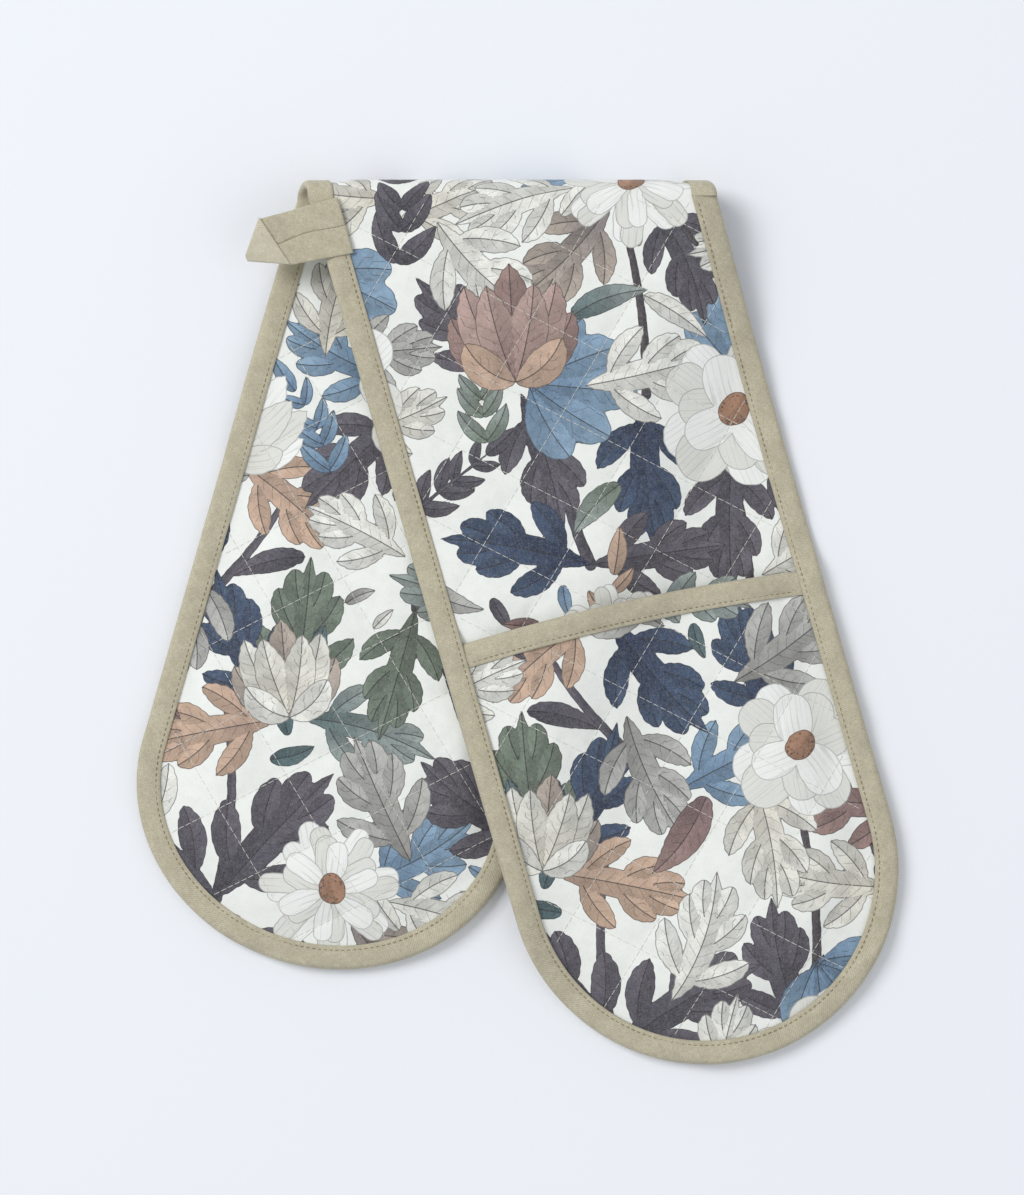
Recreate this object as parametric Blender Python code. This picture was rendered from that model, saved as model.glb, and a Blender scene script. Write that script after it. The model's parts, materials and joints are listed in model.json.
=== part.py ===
"""Double oven glove: a quilted cotton strip with a hand pocket at each end, folded across its middle.

The strip is cut on a slant by its fold, so the front half (on top, pocket up) and the rear half
(below, pocket down) make a V. Each half is drawn flat in its own pattern coordinates: s runs from the
fold along the half to its round end, p runs across it, and t is the height above the back cover.
place() bends that flat pattern into the lying shape. All sizes are metres, +Z is up.
"""

import math

import bpy
import bmesh
from mathutils import Vector

# ---- driving dimensions -------------------------------------------------------------------------
STRIP_WIDTH = 0.180
FRONT_LENGTH = 0.412        # fold line to the tip of the front end
REAR_LENGTH = 0.366         # fold line to the tip of the rear end
POCKET_DEPTH = 0.215
END_REACH_FRONT = 0.0905    # how far each round end reaches past the straight sides
END_REACH_REAR = 0.081
TILT = math.radians(16.0)   # each half's axis from square to the fold
HALF_SHIFT = 0.003          # the slanted fold moves the front half +X and the rear half -X
BINDING_WIDTH = 0.011
HEM_WIDTH = 0.011
HEM_SKEW = 0.065            # the front pocket's mouth runs slightly out of square
HEM_BOW = -0.0046           # and bows towards the fold, because the pocket stands open
TAPE = 0.0008               # edge binding, two plies
HEM_TAPE = 0.0005
LOOP_TAPE = 0.0010
SEAM = 0.00015              # half the cut between a half and the bend

# ---- heights ------------------------------------------------------------------------------------
HINGE_HEIGHT = 0.0141       # the fold axis, level with the back covers where the halves touch
FOLD_RISE = 0.0079          # how far each half stands off the axis at the fold
FOLD_LENGTH = 0.130         # the halves close up over this length
BEND_REACH = 0.0037         # inner reach of the bend past the fold line
DROP = 0.0138               # the front half falls to the table beside the rear half
DROP_START = -0.008         # measured square to the rear half's edge, from that edge
DROP_LENGTH = 0.058
EDGE_SAG = 0.0056           # the rear half's edges fall to the table around its pocket
SAG_FADE = 0.060            # the sag starts this far before the pocket's mouth

RADIUS = STRIP_WIDTH / 2
PANEL_INSET = 0.0013        # the panels' raw edges lie inside the binding's fold
LIP_INSET = BINDING_WIDTH + 0.0002
BODY_INSET = 0.024          # the strip has its full thickness from here inwards
CROWN_INSET = 0.040         # the pocket stands fully open from here inwards

# ---- mesh rows and columns ----------------------------------------------------------------------
PLAIN_SHARES = (0.0, 0.2, 0.4, 0.6, 0.8, 0.93, 1.0)     # rows from the fold to the pocket's mouth
FIRST_POCKET_ROW = len(PLAIN_SHARES) - 1
MOUTH_STEP = 0.0010         # the pocket panels' own first row, just inside the hem tape's fold
HEM_STEP = 0.0115           # the row along the hem tape's raw edges
BODY_STEP = 0.027           # the row where the pocket reaches its full thickness
SIDE_SHARES = (0.5, 1.0)    # rows from there to the start of the round end
END_ANGLES = (20.0, 40.0, 57.5, 74.0, 90.0)             # rows round the end, in degrees
ACROSS = (-0.75, -0.25, 0.25, 0.75) # inner columns, as shares of the width inside BODY_INSET
BEND_STEPS = 8
SECTION = 8                 # points in a folded tape's section

# ---- layers -------------------------------------------------------------------------------------
# Each layer: (low, high) at the middle, (low, high) under the edge binding, above the back plane.
STRIP_LAYERS = {
    "back_cover": ((0.0003, 0.0008), (0.00155, 0.00185)),
    "wadding": ((0.0011, 0.0041), (0.00210, 0.00300)),
    "face_cover": ((0.0044, 0.0049), (0.00325, 0.00355)),
}
# Each pocket layer has a third pair: its heights at the mouth, squeezed by the hem tape.
POCKET_LAYERS = {
    "lining": ((0.0103, 0.0108), (0.00450, 0.00480), (0.01065, 0.01095)),
    "wadding": ((0.0111, 0.0133), (0.00505, 0.00565), (0.01120, 0.01220)),
    "cover": ((0.0136, 0.0141), (0.00590, 0.00620), (0.01245, 0.01275)),
}
HEM_LOW = (0.0099, 0.00380)         # underside of the hem tape, middle and edge
HEM_HIGH = (0.0135, 0.00695)        # top of the hem tape, middle and edge
BINDING_LOW = 0.0005
BINDING_PLAIN_HIGH = 0.00460        # top of the edge binding along the plain strip
BINDING_POCKET_HIGH = 0.0080        # and where it also holds the pocket

# ---- seam threads --------------------------------------------------------------------------------
THREAD_WIDTH = 0.0004
THREAD_GAP = 0.00012        # left between a thread and the tape that it lies on
THREAD_HEIGHT = 0.00022
EDGE_STITCH_SHARE = 0.72    # how far across a tape its seam runs, from its folded edge
HEM_STITCH_SHARE = 0.78

# ---- hanging loop, in the front half's pattern coordinates ---------------------------------------
LOOP_SEAM_S = -0.0080       # the two runs of tape meet here
LOOP_RUN = 0.0132           # width of one run
LOOP_SLIT = 0.0006
LOOP_TAB_END = -0.0770      # the stitched ends stop at the binding's inner edge
LOOP_EDGE = -0.0903         # the loop swings about the strip's edge
LOOP_APEX = -0.1095
LOOP_TIP = ((-0.0224, -0.1139), (-0.0074, -0.1249), (-0.0046, -0.1246), (0.0023, -0.1062))
LOOP_LOW = 0.00510
LOOP_AXIS_ABOVE = 0.00015   # the loop folds about a line just above the tape

WELD = 2e-6                 # points closer than this are one point
SLIVER = 1e-7
SHARP_ANGLE = math.radians(40.0)

COLOURS = {
    "printed_cotton": (0.62, 0.64, 0.62, 0.95),
    "wadding": (0.86, 0.85, 0.80, 1.0),
    "lining": (0.84, 0.86, 0.84, 0.95),
    "khaki_twill": (0.45, 0.40, 0.29, 0.9),
    "thread": (0.36, 0.32, 0.23, 0.8),
}


def smooth_step(x):
    """0 below 0, 1 above 1, with level ends."""
    x = min(max(x, 0.0), 1.0)
    return x * x * (3.0 - 2.0 * x)


def mix(a, b, share):
    return a + (b - a) * share


class Half:
    """One half of the strip: its pattern rows, and how it lies."""

    def __init__(self, name, length, end_reach, side, skew, bow):
        self.name = name
        self.length = length
        self.end_reach = end_reach
        self.side = side                        # +1 on top, leaning to +X; -1 below, leaning to -X
        self.arc_start = length - end_reach
        self.hem = length - POCKET_DEPTH
        self.skew = skew
        self.bow = bow
        self.panel_rows = self.rows(PLAIN_SHARES, (HEM_STEP, BODY_STEP))
        self.pocket_rows = self.rows((), (MOUTH_STEP, HEM_STEP, BODY_STEP))

    def rows(self, before_hem, past_hem):
        """Rows across the half: (s on the -p side, s on the +p side, bow, end angle or None)."""
        fold = RADIUS * math.tan(TILT)
        hem_low = self.hem - self.skew * RADIUS
        hem_high = self.hem + self.skew * RADIUS
        found = []
        for share in before_hem:
            low = mix(-fold, hem_low, share)
            high = mix(fold, hem_high, share)
            found.append((low, high, self.bow * share, None))
        for step in past_hem:
            found.append((hem_low + step, hem_high + step, self.bow, None))
        for share in SIDE_SHARES:
            low = mix(hem_low + past_hem[-1], self.arc_start, share)
            high = mix(hem_high + past_hem[-1], self.arc_start, share)
            found.append((low, high, self.bow * (1.0 - share), None))
        for degrees in END_ANGLES:
            found.append((0.0, 0.0, 0.0, math.radians(degrees)))
        return found

    def edge_point(self, row, sign, inset):
        """Pattern point at an inset from the outline, on the side given by sign."""
        low, high, _, angle = row
        if angle is None:
            p = sign * (RADIUS - inset)
            return mix(low, high, (p + RADIUS) / STRIP_WIDTH), p
        s = self.arc_start + (self.end_reach - inset) * math.sin(angle)
        return s, sign * (RADIUS - inset) * math.cos(angle)

    def inner_point(self, row, share):
        """Pattern point inside BODY_INSET, at a share of the way across."""
        low, high, bow, angle = row
        if angle is None:
            p = share * (RADIUS - BODY_INSET)
            return mix(low, high, (p + RADIUS) / STRIP_WIDTH) + bow * (1.0 - share * share), p
        s = self.arc_start + (self.end_reach - BODY_INSET) * math.sin(angle)
        return s, share * (RADIUS - BODY_INSET) * math.cos(angle)

    def row_points(self, row):
        """The panel's pattern points along one row, from -p to +p."""
        insets = (PANEL_INSET, LIP_INSET, BODY_INSET)
        left = [self.edge_point(row, -1, inset) for inset in insets]
        right = [self.edge_point(row, 1, inset) for inset in reversed(insets)]
        return left + [self.inner_point(row, share) for share in ACROSS] + right

    def inset_of(self, s, p):
        """Distance from a pattern point to the outline."""
        beyond = max(0.0, s - self.arc_start) * RADIUS / self.end_reach
        return RADIUS - math.hypot(p, beyond)

    def plan(self, s, p):
        """Pattern to table position, with the middle of the fold at 0, 0."""
        x = HALF_SHIFT + s * math.sin(TILT) + p * math.cos(TILT)
        y = -s * math.cos(TILT) + p * math.sin(TILT)
        return self.side * x, y

    def back_height(self, s, p):
        """Height of the back plane off the fold axis, away from the other half."""
        x, y = self.plan(s, p)
        height = FOLD_RISE * (1.0 - smooth_step(-y / FOLD_LENGTH))
        if self.side > 0:
            corner = RADIUS / math.cos(TILT) - HALF_SHIFT
            past_rear = (x - corner) * math.cos(TILT) - y * math.sin(TILT)
            return height - DROP * smooth_step((past_rear - DROP_START) / DROP_LENGTH)
        near_pocket = smooth_step((s - self.hem) / SAG_FADE + 1.0)
        return height + EDGE_SAG * near_pocket * (1.0 - crown_share(self.inset_of(s, p)))

    def place(self, s, p, t):
        """Pattern point and height to a point of the lying glove."""
        x, y = self.plan(s, p)
        lift = self.back_height(s, p) + t
        return Vector((x, y - SEAM, HINGE_HEIGHT + self.side * lift))


def body_share(inset):
    """0 under the binding, 1 where the strip has its full thickness."""
    return min(max((inset - LIP_INSET) / (BODY_INSET - LIP_INSET), 0.0), 1.0)


def crown_share(inset):
    """0 under the binding, 1 where the pocket stands fully open."""
    return smooth_step((inset - LIP_INSET) / (CROWN_INSET - LIP_INSET))


def strip_heights(layer, inset):
    middle, edge = STRIP_LAYERS[layer]
    share = body_share(inset)
    return mix(edge[0], middle[0], share), mix(edge[1], middle[1], share)


def pocket_heights(layer, inset, at_mouth):
    middle, edge, mouth = POCKET_LAYERS[layer]
    share = crown_share(inset)
    full = mouth if at_mouth else middle
    return mix(edge[0], full[0], share), mix(edge[1], full[1], share)


# ---- mesh building ------------------------------------------------------------------------------

def add_quad(faces, a, b, c, d):
    """Two triangles that always share the diagonal a-c, so stacked layers stay parallel."""
    faces.append((a, b, c))
    faces.append((a, c, d))


def sheet_faces(rows, columns, closed_end=True):
    """Closed slab of two stacked grids: the low grid first, then the high one.

    closed_end says that the last row runs out along a line and back, so it needs no wall.
    """
    count = rows * columns
    faces = []
    for level in (0, count):
        for i in range(rows - 1):
            for j in range(columns - 1):
                a = level + i * columns + j
                add_quad(faces, a, a + 1, a + columns + 1, a + columns)
    rim = [(i * columns, (i + 1) * columns) for i in range(rows - 1)]
    rim += [(i * columns + columns - 1, (i + 1) * columns + columns - 1) for i in range(rows - 1)]
    rim += [(j, j + 1) for j in range(columns - 1)]
    if not closed_end:
        rim += [((rows - 1) * columns + j, (rows - 1) * columns + j + 1) for j in range(columns - 1)]
    for a, b in rim:
        add_quad(faces, a, b, b + count, a + count)
    return faces


def channel_faces(rings):
    """Closed tube of C-shaped sections, with both ends capped.

    Its lips are split along the same diagonals as the sheets that they hold.
    """
    faces = []
    for i in range(rings - 1):
        for k in range(SECTION):
            a = i * SECTION + k
            b = i * SECTION + (k + 1) % SECTION
            if k in (0, 4):
                add_quad(faces, b, b + SECTION, a + SECTION, a)
            else:
                add_quad(faces, a, b, b + SECTION, a + SECTION)
    for start in (0, (rings - 1) * SECTION):
        for quad in ((0, 1, 6, 7), (1, 2, 5, 6), (2, 3, 4, 5)):
            add_quad(faces, *(start + k for k in quad))
    return faces


def channel_section(width, thickness, low, high):
    """A folded tape seen end on: (distance from its fold, height), open towards +distance."""
    return ((width, high), (0.0, high), (0.0, low), (width, low),
            (width, low + thickness), (thickness, low + thickness),
            (thickness, high - thickness), (width, high - thickness))


def world_place(axis):
    """Where an axis stands, through its parents."""
    return axis.location + world_place(axis.parent) if axis else Vector((0.0, 0.0, 0.0))


def make_object(name, points, faces, material, parent=None):
    """Weld the points, drop collapsed faces, turn the normals outwards and add the object."""
    origin = world_place(parent)
    mesh = bpy.data.meshes.new(name)
    work = bmesh.new()
    corners = [work.verts.new(point - origin) for point in points]
    for face in faces:
        work.faces.new([corners[k] for k in face])
    bmesh.ops.remove_doubles(work, verts=work.verts, dist=WELD)
    bmesh.ops.dissolve_degenerate(work, edges=work.edges, dist=SLIVER)
    bmesh.ops.recalc_face_normals(work, faces=work.faces)
    work.to_mesh(mesh)
    work.free()
    mesh.shade_smooth()
    mesh.set_sharp_from_angle(angle=SHARP_ANGLE)
    mesh.materials.append(material)
    part = bpy.data.objects.new(name, mesh)
    part.parent = parent
    bpy.context.collection.objects.link(part)
    return part


def make_material(name):
    """Plain cloth with the part's colour."""
    red, green, blue, roughness = COLOURS[name]
    material = bpy.data.materials.new(name)
    material.use_nodes = True
    shader = material.node_tree.nodes["Principled BSDF"]
    shader.inputs["Base Color"].default_value = (red, green, blue, 1.0)
    shader.inputs["Roughness"].default_value = roughness
    shader.inputs["Metallic"].default_value = 0.0
    return material


# ---- pieces -------------------------------------------------------------------------------------

def make_strip_layer(half, layer, material, parent):
    """One layer of the strip over a half."""
    low = []
    high = []
    for row in half.panel_rows:
        for s, p in half.row_points(row):
            bottom, top = strip_heights(layer, half.inset_of(s, p))
            low.append(half.place(s, p, bottom))
            high.append(half.place(s, p, top))
    rows = len(half.panel_rows)
    faces = sheet_faces(rows, len(low) // rows)
    return make_object(f"{half.name}_{layer}", low + high, faces, material, parent)


def make_pocket_layer(half, layer, material, parent):
    """One layer of a half's hand pocket, from the mouth to the round end."""
    low = []
    high = []
    for index, row in enumerate(half.pocket_rows):
        under_hem_tape = index < 2
        for s, p in half.row_points(row):
            bottom, top = pocket_heights(layer, half.inset_of(s, p), under_hem_tape)
            low.append(half.place(s, p, bottom))
            high.append(half.place(s, p, top))
    rows = len(half.pocket_rows)
    faces = sheet_faces(rows, len(low) // rows)
    return make_object(f"{half.name}_pocket_{layer}", low + high, faces, material, parent)


def hem_rings(half):
    """The hem tape's sections, from one side of the pocket's mouth to the other."""
    points = []
    for s, p in half.row_points(half.panel_rows[FIRST_POCKET_ROW]):
        share = crown_share(half.inset_of(s, p))
        low = mix(HEM_LOW[1], HEM_LOW[0], share)
        high = mix(HEM_HIGH[1], HEM_HIGH[0], share)
        for along, t in channel_section(HEM_WIDTH, HEM_TAPE, low, high):
            points.append(half.place(s + along, p, t))
    return points


def binding_rings(half):
    """The edge tape's sections, from the fold round the end and back to the fold."""
    stations = [(row, -1) for row in half.panel_rows]
    stations += [(row, 1) for row in reversed(half.panel_rows[:-1])]
    points = []
    for row, sign in stations:
        over_pocket = half.panel_rows.index(row) >= FIRST_POCKET_ROW
        high = BINDING_POCKET_HIGH if over_pocket else BINDING_PLAIN_HIGH
        for inset, t in channel_section(BINDING_WIDTH, TAPE, BINDING_LOW, high):
            s, p = half.edge_point(row, sign, inset)
            points.append(half.place(s, p, t))
    return points


def make_tape(name, rings, material, parent):
    return make_object(name, rings, channel_faces(len(rings) // SECTION), material, parent)


def make_seam_thread(name, rings, level, share, material, parent):
    """A line of stitches along a folded tape: level is +1 on its high lip, -1 on its low one.

    It takes its height from the tape's own triangles, whose diagonals it crosses half way.
    """
    lip, fold = ((0, 1), (3, 2))[level < 0]
    outward = 1.0 if rings[0].z > rings[3].z else -1.0
    up = Vector((0.0, 0.0, outward * level))
    sections = len(rings) // SECTION
    bottom = up * THREAD_GAP
    top = up * (THREAD_GAP + THREAD_HEIGHT)
    points = []
    for i in range(sections):
        here = i * SECTION
        steps = [(rings[here + fold], rings[here + lip])]
        if i < sections - 1:
            steps.append((rings[here + fold], rings[here + SECTION + lip]))
        side = (rings[here + lip] - rings[here + fold]).normalized() * (THREAD_WIDTH / 2)
        for start, end in steps:
            middle = start.lerp(end, share)
            for offset in (side + bottom, bottom - side, top - side, side + top):
                points.append(middle + offset)
    faces = []
    count = len(points) // 4
    for i in range(count - 1):
        for k in range(4):
            a = i * 4 + k
            b = i * 4 + (k + 1) % 4
            add_quad(faces, a, b, b + 4, a + 4)
    add_quad(faces, 0, 1, 2, 3)
    add_quad(faces, count * 4 - 4, count * 4 - 3, count * 4 - 2, count * 4 - 1)
    return make_object(name, points, faces, material, parent)


def bend_point(across, t, turn):
    """A point of the bend: across runs along the fold, turn is +1 at the front half, -1 at the rear."""
    angle = turn * math.pi / 2
    x = across + HALF_SHIFT * math.sin(angle)
    y = SEAM + (BEND_REACH + t) * math.cos(angle)
    return Vector((x, y, HINGE_HEIGHT + (FOLD_RISE + t) * math.sin(angle)))


def bend_turns():
    return [1.0 - 2.0 * step / BEND_STEPS for step in range(BEND_STEPS + 1)]


def make_bend_layer(half, layer, material):
    """One layer of the strip where it turns over the fold."""
    row = half.panel_rows[0]
    columns = [(p / math.cos(TILT), half.inset_of(s, p)) for s, p in half.row_points(row)]
    low = []
    high = []
    for turn in bend_turns():
        for across, inset in columns:
            bottom, top = strip_heights(layer, inset)
            low.append(bend_point(across, bottom, turn))
            high.append(bend_point(across, top, turn))
    faces = sheet_faces(BEND_STEPS + 1, len(columns), closed_end=False)
    return make_object(f"fold_{layer}", low + high, faces, material)


def make_bend_binding(name, sign, material):
    """The edge binding where it turns over the fold, on one side."""
    points = []
    for turn in bend_turns():
        for inset, t in channel_section(BINDING_WIDTH, TAPE, BINDING_LOW, BINDING_PLAIN_HIGH):
            points.append(bend_point(sign * (RADIUS - inset) / math.cos(TILT), t, turn))
    return make_object(name, points, channel_faces(BEND_STEPS + 1), material)


def slab(half, outline, low, high):
    """Points and faces of a closed slab over a convex outline of (s, p) points."""
    count = len(outline)
    points = [half.place(s, p, low) for s, p in outline] + [half.place(s, p, high) for s, p in outline]
    faces = []
    for k in range(1, count - 1):
        faces.append((0, k + 1, k))
        faces.append((count, count + k, count + k + 1))
    for k in range(count):
        following = (k + 1) % count
        add_quad(faces, k, following, following + count, k + count)
    return points, faces


def make_loop_tab(half, name, sign, material, parent):
    """One of the loop's two ends, stitched side by side on the edge binding."""
    near = LOOP_SEAM_S + sign * LOOP_SLIT / 2
    far = near + sign * LOOP_RUN
    root = LOOP_EDGE + SEAM
    outline = ((near, LOOP_TAB_END), (far, LOOP_TAB_END), (far, root), (near, root))
    points, faces = slab(half, outline, LOOP_LOW, LOOP_LOW + LOOP_TAPE)
    return make_object(name, points, faces, material, parent)


def make_loop(half, material, parent):
    """The loop's free part: out along one run, round the folded tip and back along the other."""
    seam_low = LOOP_SEAM_S - LOOP_SLIT / 2
    seam_high = LOOP_SEAM_S + LOOP_SLIT / 2
    root = LOOP_EDGE - SEAM
    outer = [(seam_low - LOOP_RUN, root), *LOOP_TIP, (seam_high + LOOP_RUN, root)]
    inner = [(seam_low, root), (seam_low, LOOP_APEX), (seam_low, LOOP_APEX),
             (seam_high, LOOP_APEX), (seam_high, LOOP_APEX), (seam_high, root)]
    points = []
    for (s_out, p_out), (s_in, p_in) in zip(outer, inner):
        for t in (LOOP_LOW, LOOP_LOW + LOOP_TAPE):
            points.append(half.place(s_out, p_out, t))
            points.append(half.place(s_in, p_in, t))
    faces = []
    for i in range(len(outer) - 1):
        a = i * 4
        for first, second in ((0, 1), (1, 3), (3, 2), (2, 0)):
            add_quad(faces, a + first, a + second, a + 4 + second, a + 4 + first)
    end = (len(outer) - 1) * 4
    add_quad(faces, 0, 1, 3, 2)
    add_quad(faces, end, end + 1, end + 3, end + 2)
    return make_object("hanging_loop", points, faces, material, parent)


def make_axis(name, location, parent=None):
    """An empty on a joint's axis, which the moving pieces hang on."""
    axis = bpy.data.objects.new(name, None)
    axis.location = location - world_place(parent)
    axis.parent = parent
    bpy.context.collection.objects.link(axis)
    return axis


def centre_on_box():
    """Move the whole glove so that the middle of its box stands on the origin."""
    bpy.context.view_layer.update()
    parts = [part for part in bpy.data.objects if part.type == "MESH"]
    corners = [part.matrix_world @ vertex.co for part in parts for vertex in part.data.vertices]
    middle = [(min(c[k] for c in corners) + max(c[k] for c in corners)) / 2 for k in (0, 1)]
    for thing in bpy.data.objects:
        if thing.parent is None:
            thing.location.x -= middle[0]
            thing.location.y -= middle[1]
    bpy.context.view_layer.update()


def build():
    for thing in list(bpy.data.objects):
        bpy.data.objects.remove(thing, do_unlink=True)
    cotton = {}
    for name in COLOURS:
        cotton[name] = make_material(name)
    layer_material = {"back_cover": cotton["printed_cotton"], "wadding": cotton["wadding"],
                      "face_cover": cotton["printed_cotton"], "lining": cotton["lining"],
                      "cover": cotton["printed_cotton"]}
    front = Half("front", FRONT_LENGTH, END_REACH_FRONT, 1, HEM_SKEW, HEM_BOW)
    rear = Half("rear", REAR_LENGTH, END_REACH_REAR, -1, 0.0, 0.0)

    fold_axis = make_axis("fold_axis", Vector((0.0, 0.0, HINGE_HEIGHT)))
    for half, parent in ((front, fold_axis), (rear, None)):
        for layer in STRIP_LAYERS:
            make_strip_layer(half, layer, layer_material[layer], parent)
        for layer in POCKET_LAYERS:
            make_pocket_layer(half, layer, layer_material[layer], parent)
        hem = hem_rings(half)
        binding = binding_rings(half)
        make_tape(f"{half.name}_pocket_hem", hem, cotton["khaki_twill"], parent)
        make_tape(f"{half.name}_edge_binding", binding, cotton["khaki_twill"], parent)
        thread = cotton["thread"]
        open_hem = hem[SECTION:-SECTION]    # the sections clear of the edge binding
        make_seam_thread(f"{half.name}_hem_thread", open_hem, 1, HEM_STITCH_SHARE, thread, parent)
        make_seam_thread(f"{half.name}_face_thread", binding, 1, EDGE_STITCH_SHARE, thread, parent)
        make_seam_thread(f"{half.name}_back_thread", binding, -1, EDGE_STITCH_SHARE, thread, parent)
    for layer in STRIP_LAYERS:
        make_bend_layer(front, layer, layer_material[layer])
    make_bend_binding("fold_left_binding", -1, cotton["khaki_twill"])
    make_bend_binding("fold_right_binding", 1, cotton["khaki_twill"])
    make_loop_tab(front, "hanging_loop_end_near_fold", -1, cotton["khaki_twill"], fold_axis)
    make_loop_tab(front, "hanging_loop_end_far", 1, cotton["khaki_twill"], fold_axis)
    loop_top = LOOP_LOW + LOOP_TAPE + LOOP_AXIS_ABOVE
    loop_axis = make_axis("loop_axis", front.place(LOOP_SEAM_S, LOOP_EDGE, loop_top), fold_axis)
    make_loop(front, cotton["khaki_twill"], loop_axis)
    centre_on_box()


build()
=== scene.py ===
"""Looks of the double oven glove: printed quilted cotton, twill tape, stitching and the hanging loop.

Each half of the glove is drawn in its own flat pattern coordinates, in metres: s runs from the fold
along the half to its round end, p runs across it, and t is the height above the back cover. The same
functions as in the CAD lay that pattern on the table. The print is drawn in millimetres on a
repeating tile of cloth, as brush strokes whose signed distances are stored on the meshes.
"""

import json
import math

import bmesh
import bpy
import numpy as np
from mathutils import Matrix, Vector


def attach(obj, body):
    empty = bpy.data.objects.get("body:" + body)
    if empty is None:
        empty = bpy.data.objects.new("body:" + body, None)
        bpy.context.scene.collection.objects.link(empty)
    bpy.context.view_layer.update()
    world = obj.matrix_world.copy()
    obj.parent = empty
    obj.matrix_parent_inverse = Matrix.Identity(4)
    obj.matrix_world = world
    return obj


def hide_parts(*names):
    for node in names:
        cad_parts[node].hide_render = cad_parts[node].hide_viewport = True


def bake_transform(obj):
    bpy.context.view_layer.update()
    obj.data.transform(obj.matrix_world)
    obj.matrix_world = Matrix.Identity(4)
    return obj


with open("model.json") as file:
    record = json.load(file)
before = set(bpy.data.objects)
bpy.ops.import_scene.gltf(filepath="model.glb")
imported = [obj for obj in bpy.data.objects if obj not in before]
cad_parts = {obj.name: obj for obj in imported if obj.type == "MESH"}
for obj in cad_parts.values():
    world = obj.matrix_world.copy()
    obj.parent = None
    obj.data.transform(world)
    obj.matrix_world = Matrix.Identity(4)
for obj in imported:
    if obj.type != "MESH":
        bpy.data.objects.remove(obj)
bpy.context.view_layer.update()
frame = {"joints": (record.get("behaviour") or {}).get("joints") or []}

# ---- the glove's cut and lie, as in the CAD ----
STRIP_WIDTH = 0.180
RADIUS = STRIP_WIDTH / 2
POCKET_DEPTH = 0.215
TILT = math.radians(16.0)
HALF_SHIFT = 0.003
BINDING_WIDTH = 0.011
HEM_WIDTH = 0.011
FOLD_RISE = 0.0079
FOLD_LENGTH = 0.130
BEND_REACH = 0.0037
DROP = 0.0138
DROP_START = -0.008
DROP_LENGTH = 0.058
EDGE_SAG = 0.0056
SAG_FADE = 0.060
LIP_INSET = BINDING_WIDTH + 0.0002
BODY_INSET = 0.024
CROWN_INSET = 0.040
LEVEL_ROW = 0.055           # rows turn from the slanted fold to square over this length
HINGES = {joint["name"]: Vector(joint["pos_m"]) for joint in frame["joints"]}
FOLD_X, FOLD_Y, FOLD_Z = HINGES["front_fold"]

# ---- layers: height in the middle, height under the edge tape ----
BACK_T = (0.0003, 0.00155)
FACE_T = (0.0049, 0.00355)
LINING_T = (0.0103, 0.0045)
COVER_T = (0.0141, 0.0062)
LINING_MOUTH_T = 0.01065
COVER_MOUTH_T = 0.01275
HEM_LOW = (0.0099, 0.00380)
HEM_HIGH = (0.0135, 0.00695)
BINDING_LOW = 0.0005
BINDING_PLAIN_HIGH = 0.00460
BINDING_POCKET_HIGH = 0.0080
TAPE = 0.0008
COVER_INSET = 0.0030        # the covers' raw edges, inside the tape's fold
WADDING_INSET = COVER_INSET + 0.001
WADDING_GAP = 0.0006        # between the wadding and a cover, where there is room
WADDING_GAP_SHARE = 0.3     # the largest share of the room that the gap takes
PAD_CLEARANCE = 0.0004      # the halves' wadding stops this far from the fold
MOUTH_RISE_START = 0.009    # behind its mouth the pocket rises to its full height
MOUTH_RISE = 0.022
POCKET_OVERLAP = 0.0016     # the pocket's cloth starts this far inside its hem tape

# ---- quilting ----
QUILT_ANGLE = math.radians(47.0)
QUILT_SPACING = 0.0345
QUILT_SOFTNESS = 0.0062
QUILT_DEPTH = 0.0015
POCKET_QUILT_DEPTH = 0.0013
LINING_QUILT_DEPTH = POCKET_QUILT_DEPTH * 0.3
FOLD_FADE = 0.012           # the puffing starts over this length from the fold
HEM_FADE = 0.006            # and over this length at the hem tape's edge
PUCKER_REACH = 0.005        # how far puckers run from a stitch line
PUCKER_CELL = 0.0042
PUCKER = 0.13
RUMPLE_CELL = 0.016
RUMPLE = 0.10
STITCH_LENGTH = 0.0030
STITCH_GAP = 0.0006
STITCH_STAGGER = 0.0007     # neighbouring lines of stitches start this much apart
QUILT_LINES = 16            # lines on each side of the middle, enough for either half
QUILT_THREAD_RADIUS = 0.00014
SEAM_THREAD_RADIUS = 0.00018
SEAM_LIFT = 0.00006
SEAM_END = 0.004            # the edge tape's stitches stop this far from the fold
SEAM_PITCH = 0.0027         # the stitches that hold the tape
SEAM_GAP = 0.0010
STITCH_LINE = 0.84          # their place, as a share of the tape's width

# ---- mesh cells ----
FINE = 0.00088
MEDIUM = 0.0013
COARSE = 0.0030
WADDING_CELL = 0.0018
WADDING_COLUMNS = 61
BEND_ROWS = 25
TAPE_STEP = 0.0015
SEAM_STEP = 0.0005
LAST_ROW_ANGLE = math.radians(88.0)     # a sheet's last row stops short of the tip of its round end


# ---- small tools ----

def smooth(x):
    """0 below 0, 1 above 1, with an even start and end between."""
    x = np.clip(x, 0.0, 1.0)
    return x * x * (3.0 - 2.0 * x)


def mix(a, b, share):
    """a where share is 0, b where it is 1."""
    return a + (b - a) * share


def srgb(red, green, blue):
    """Display values from 0 to 255, as linear colour."""
    shares = (red / 255, green / 255, blue / 255)
    return tuple(c / 12.92 if c < 0.0404 else ((c + 0.055) / 1.055) ** 2.4 for c in shares)


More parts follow.
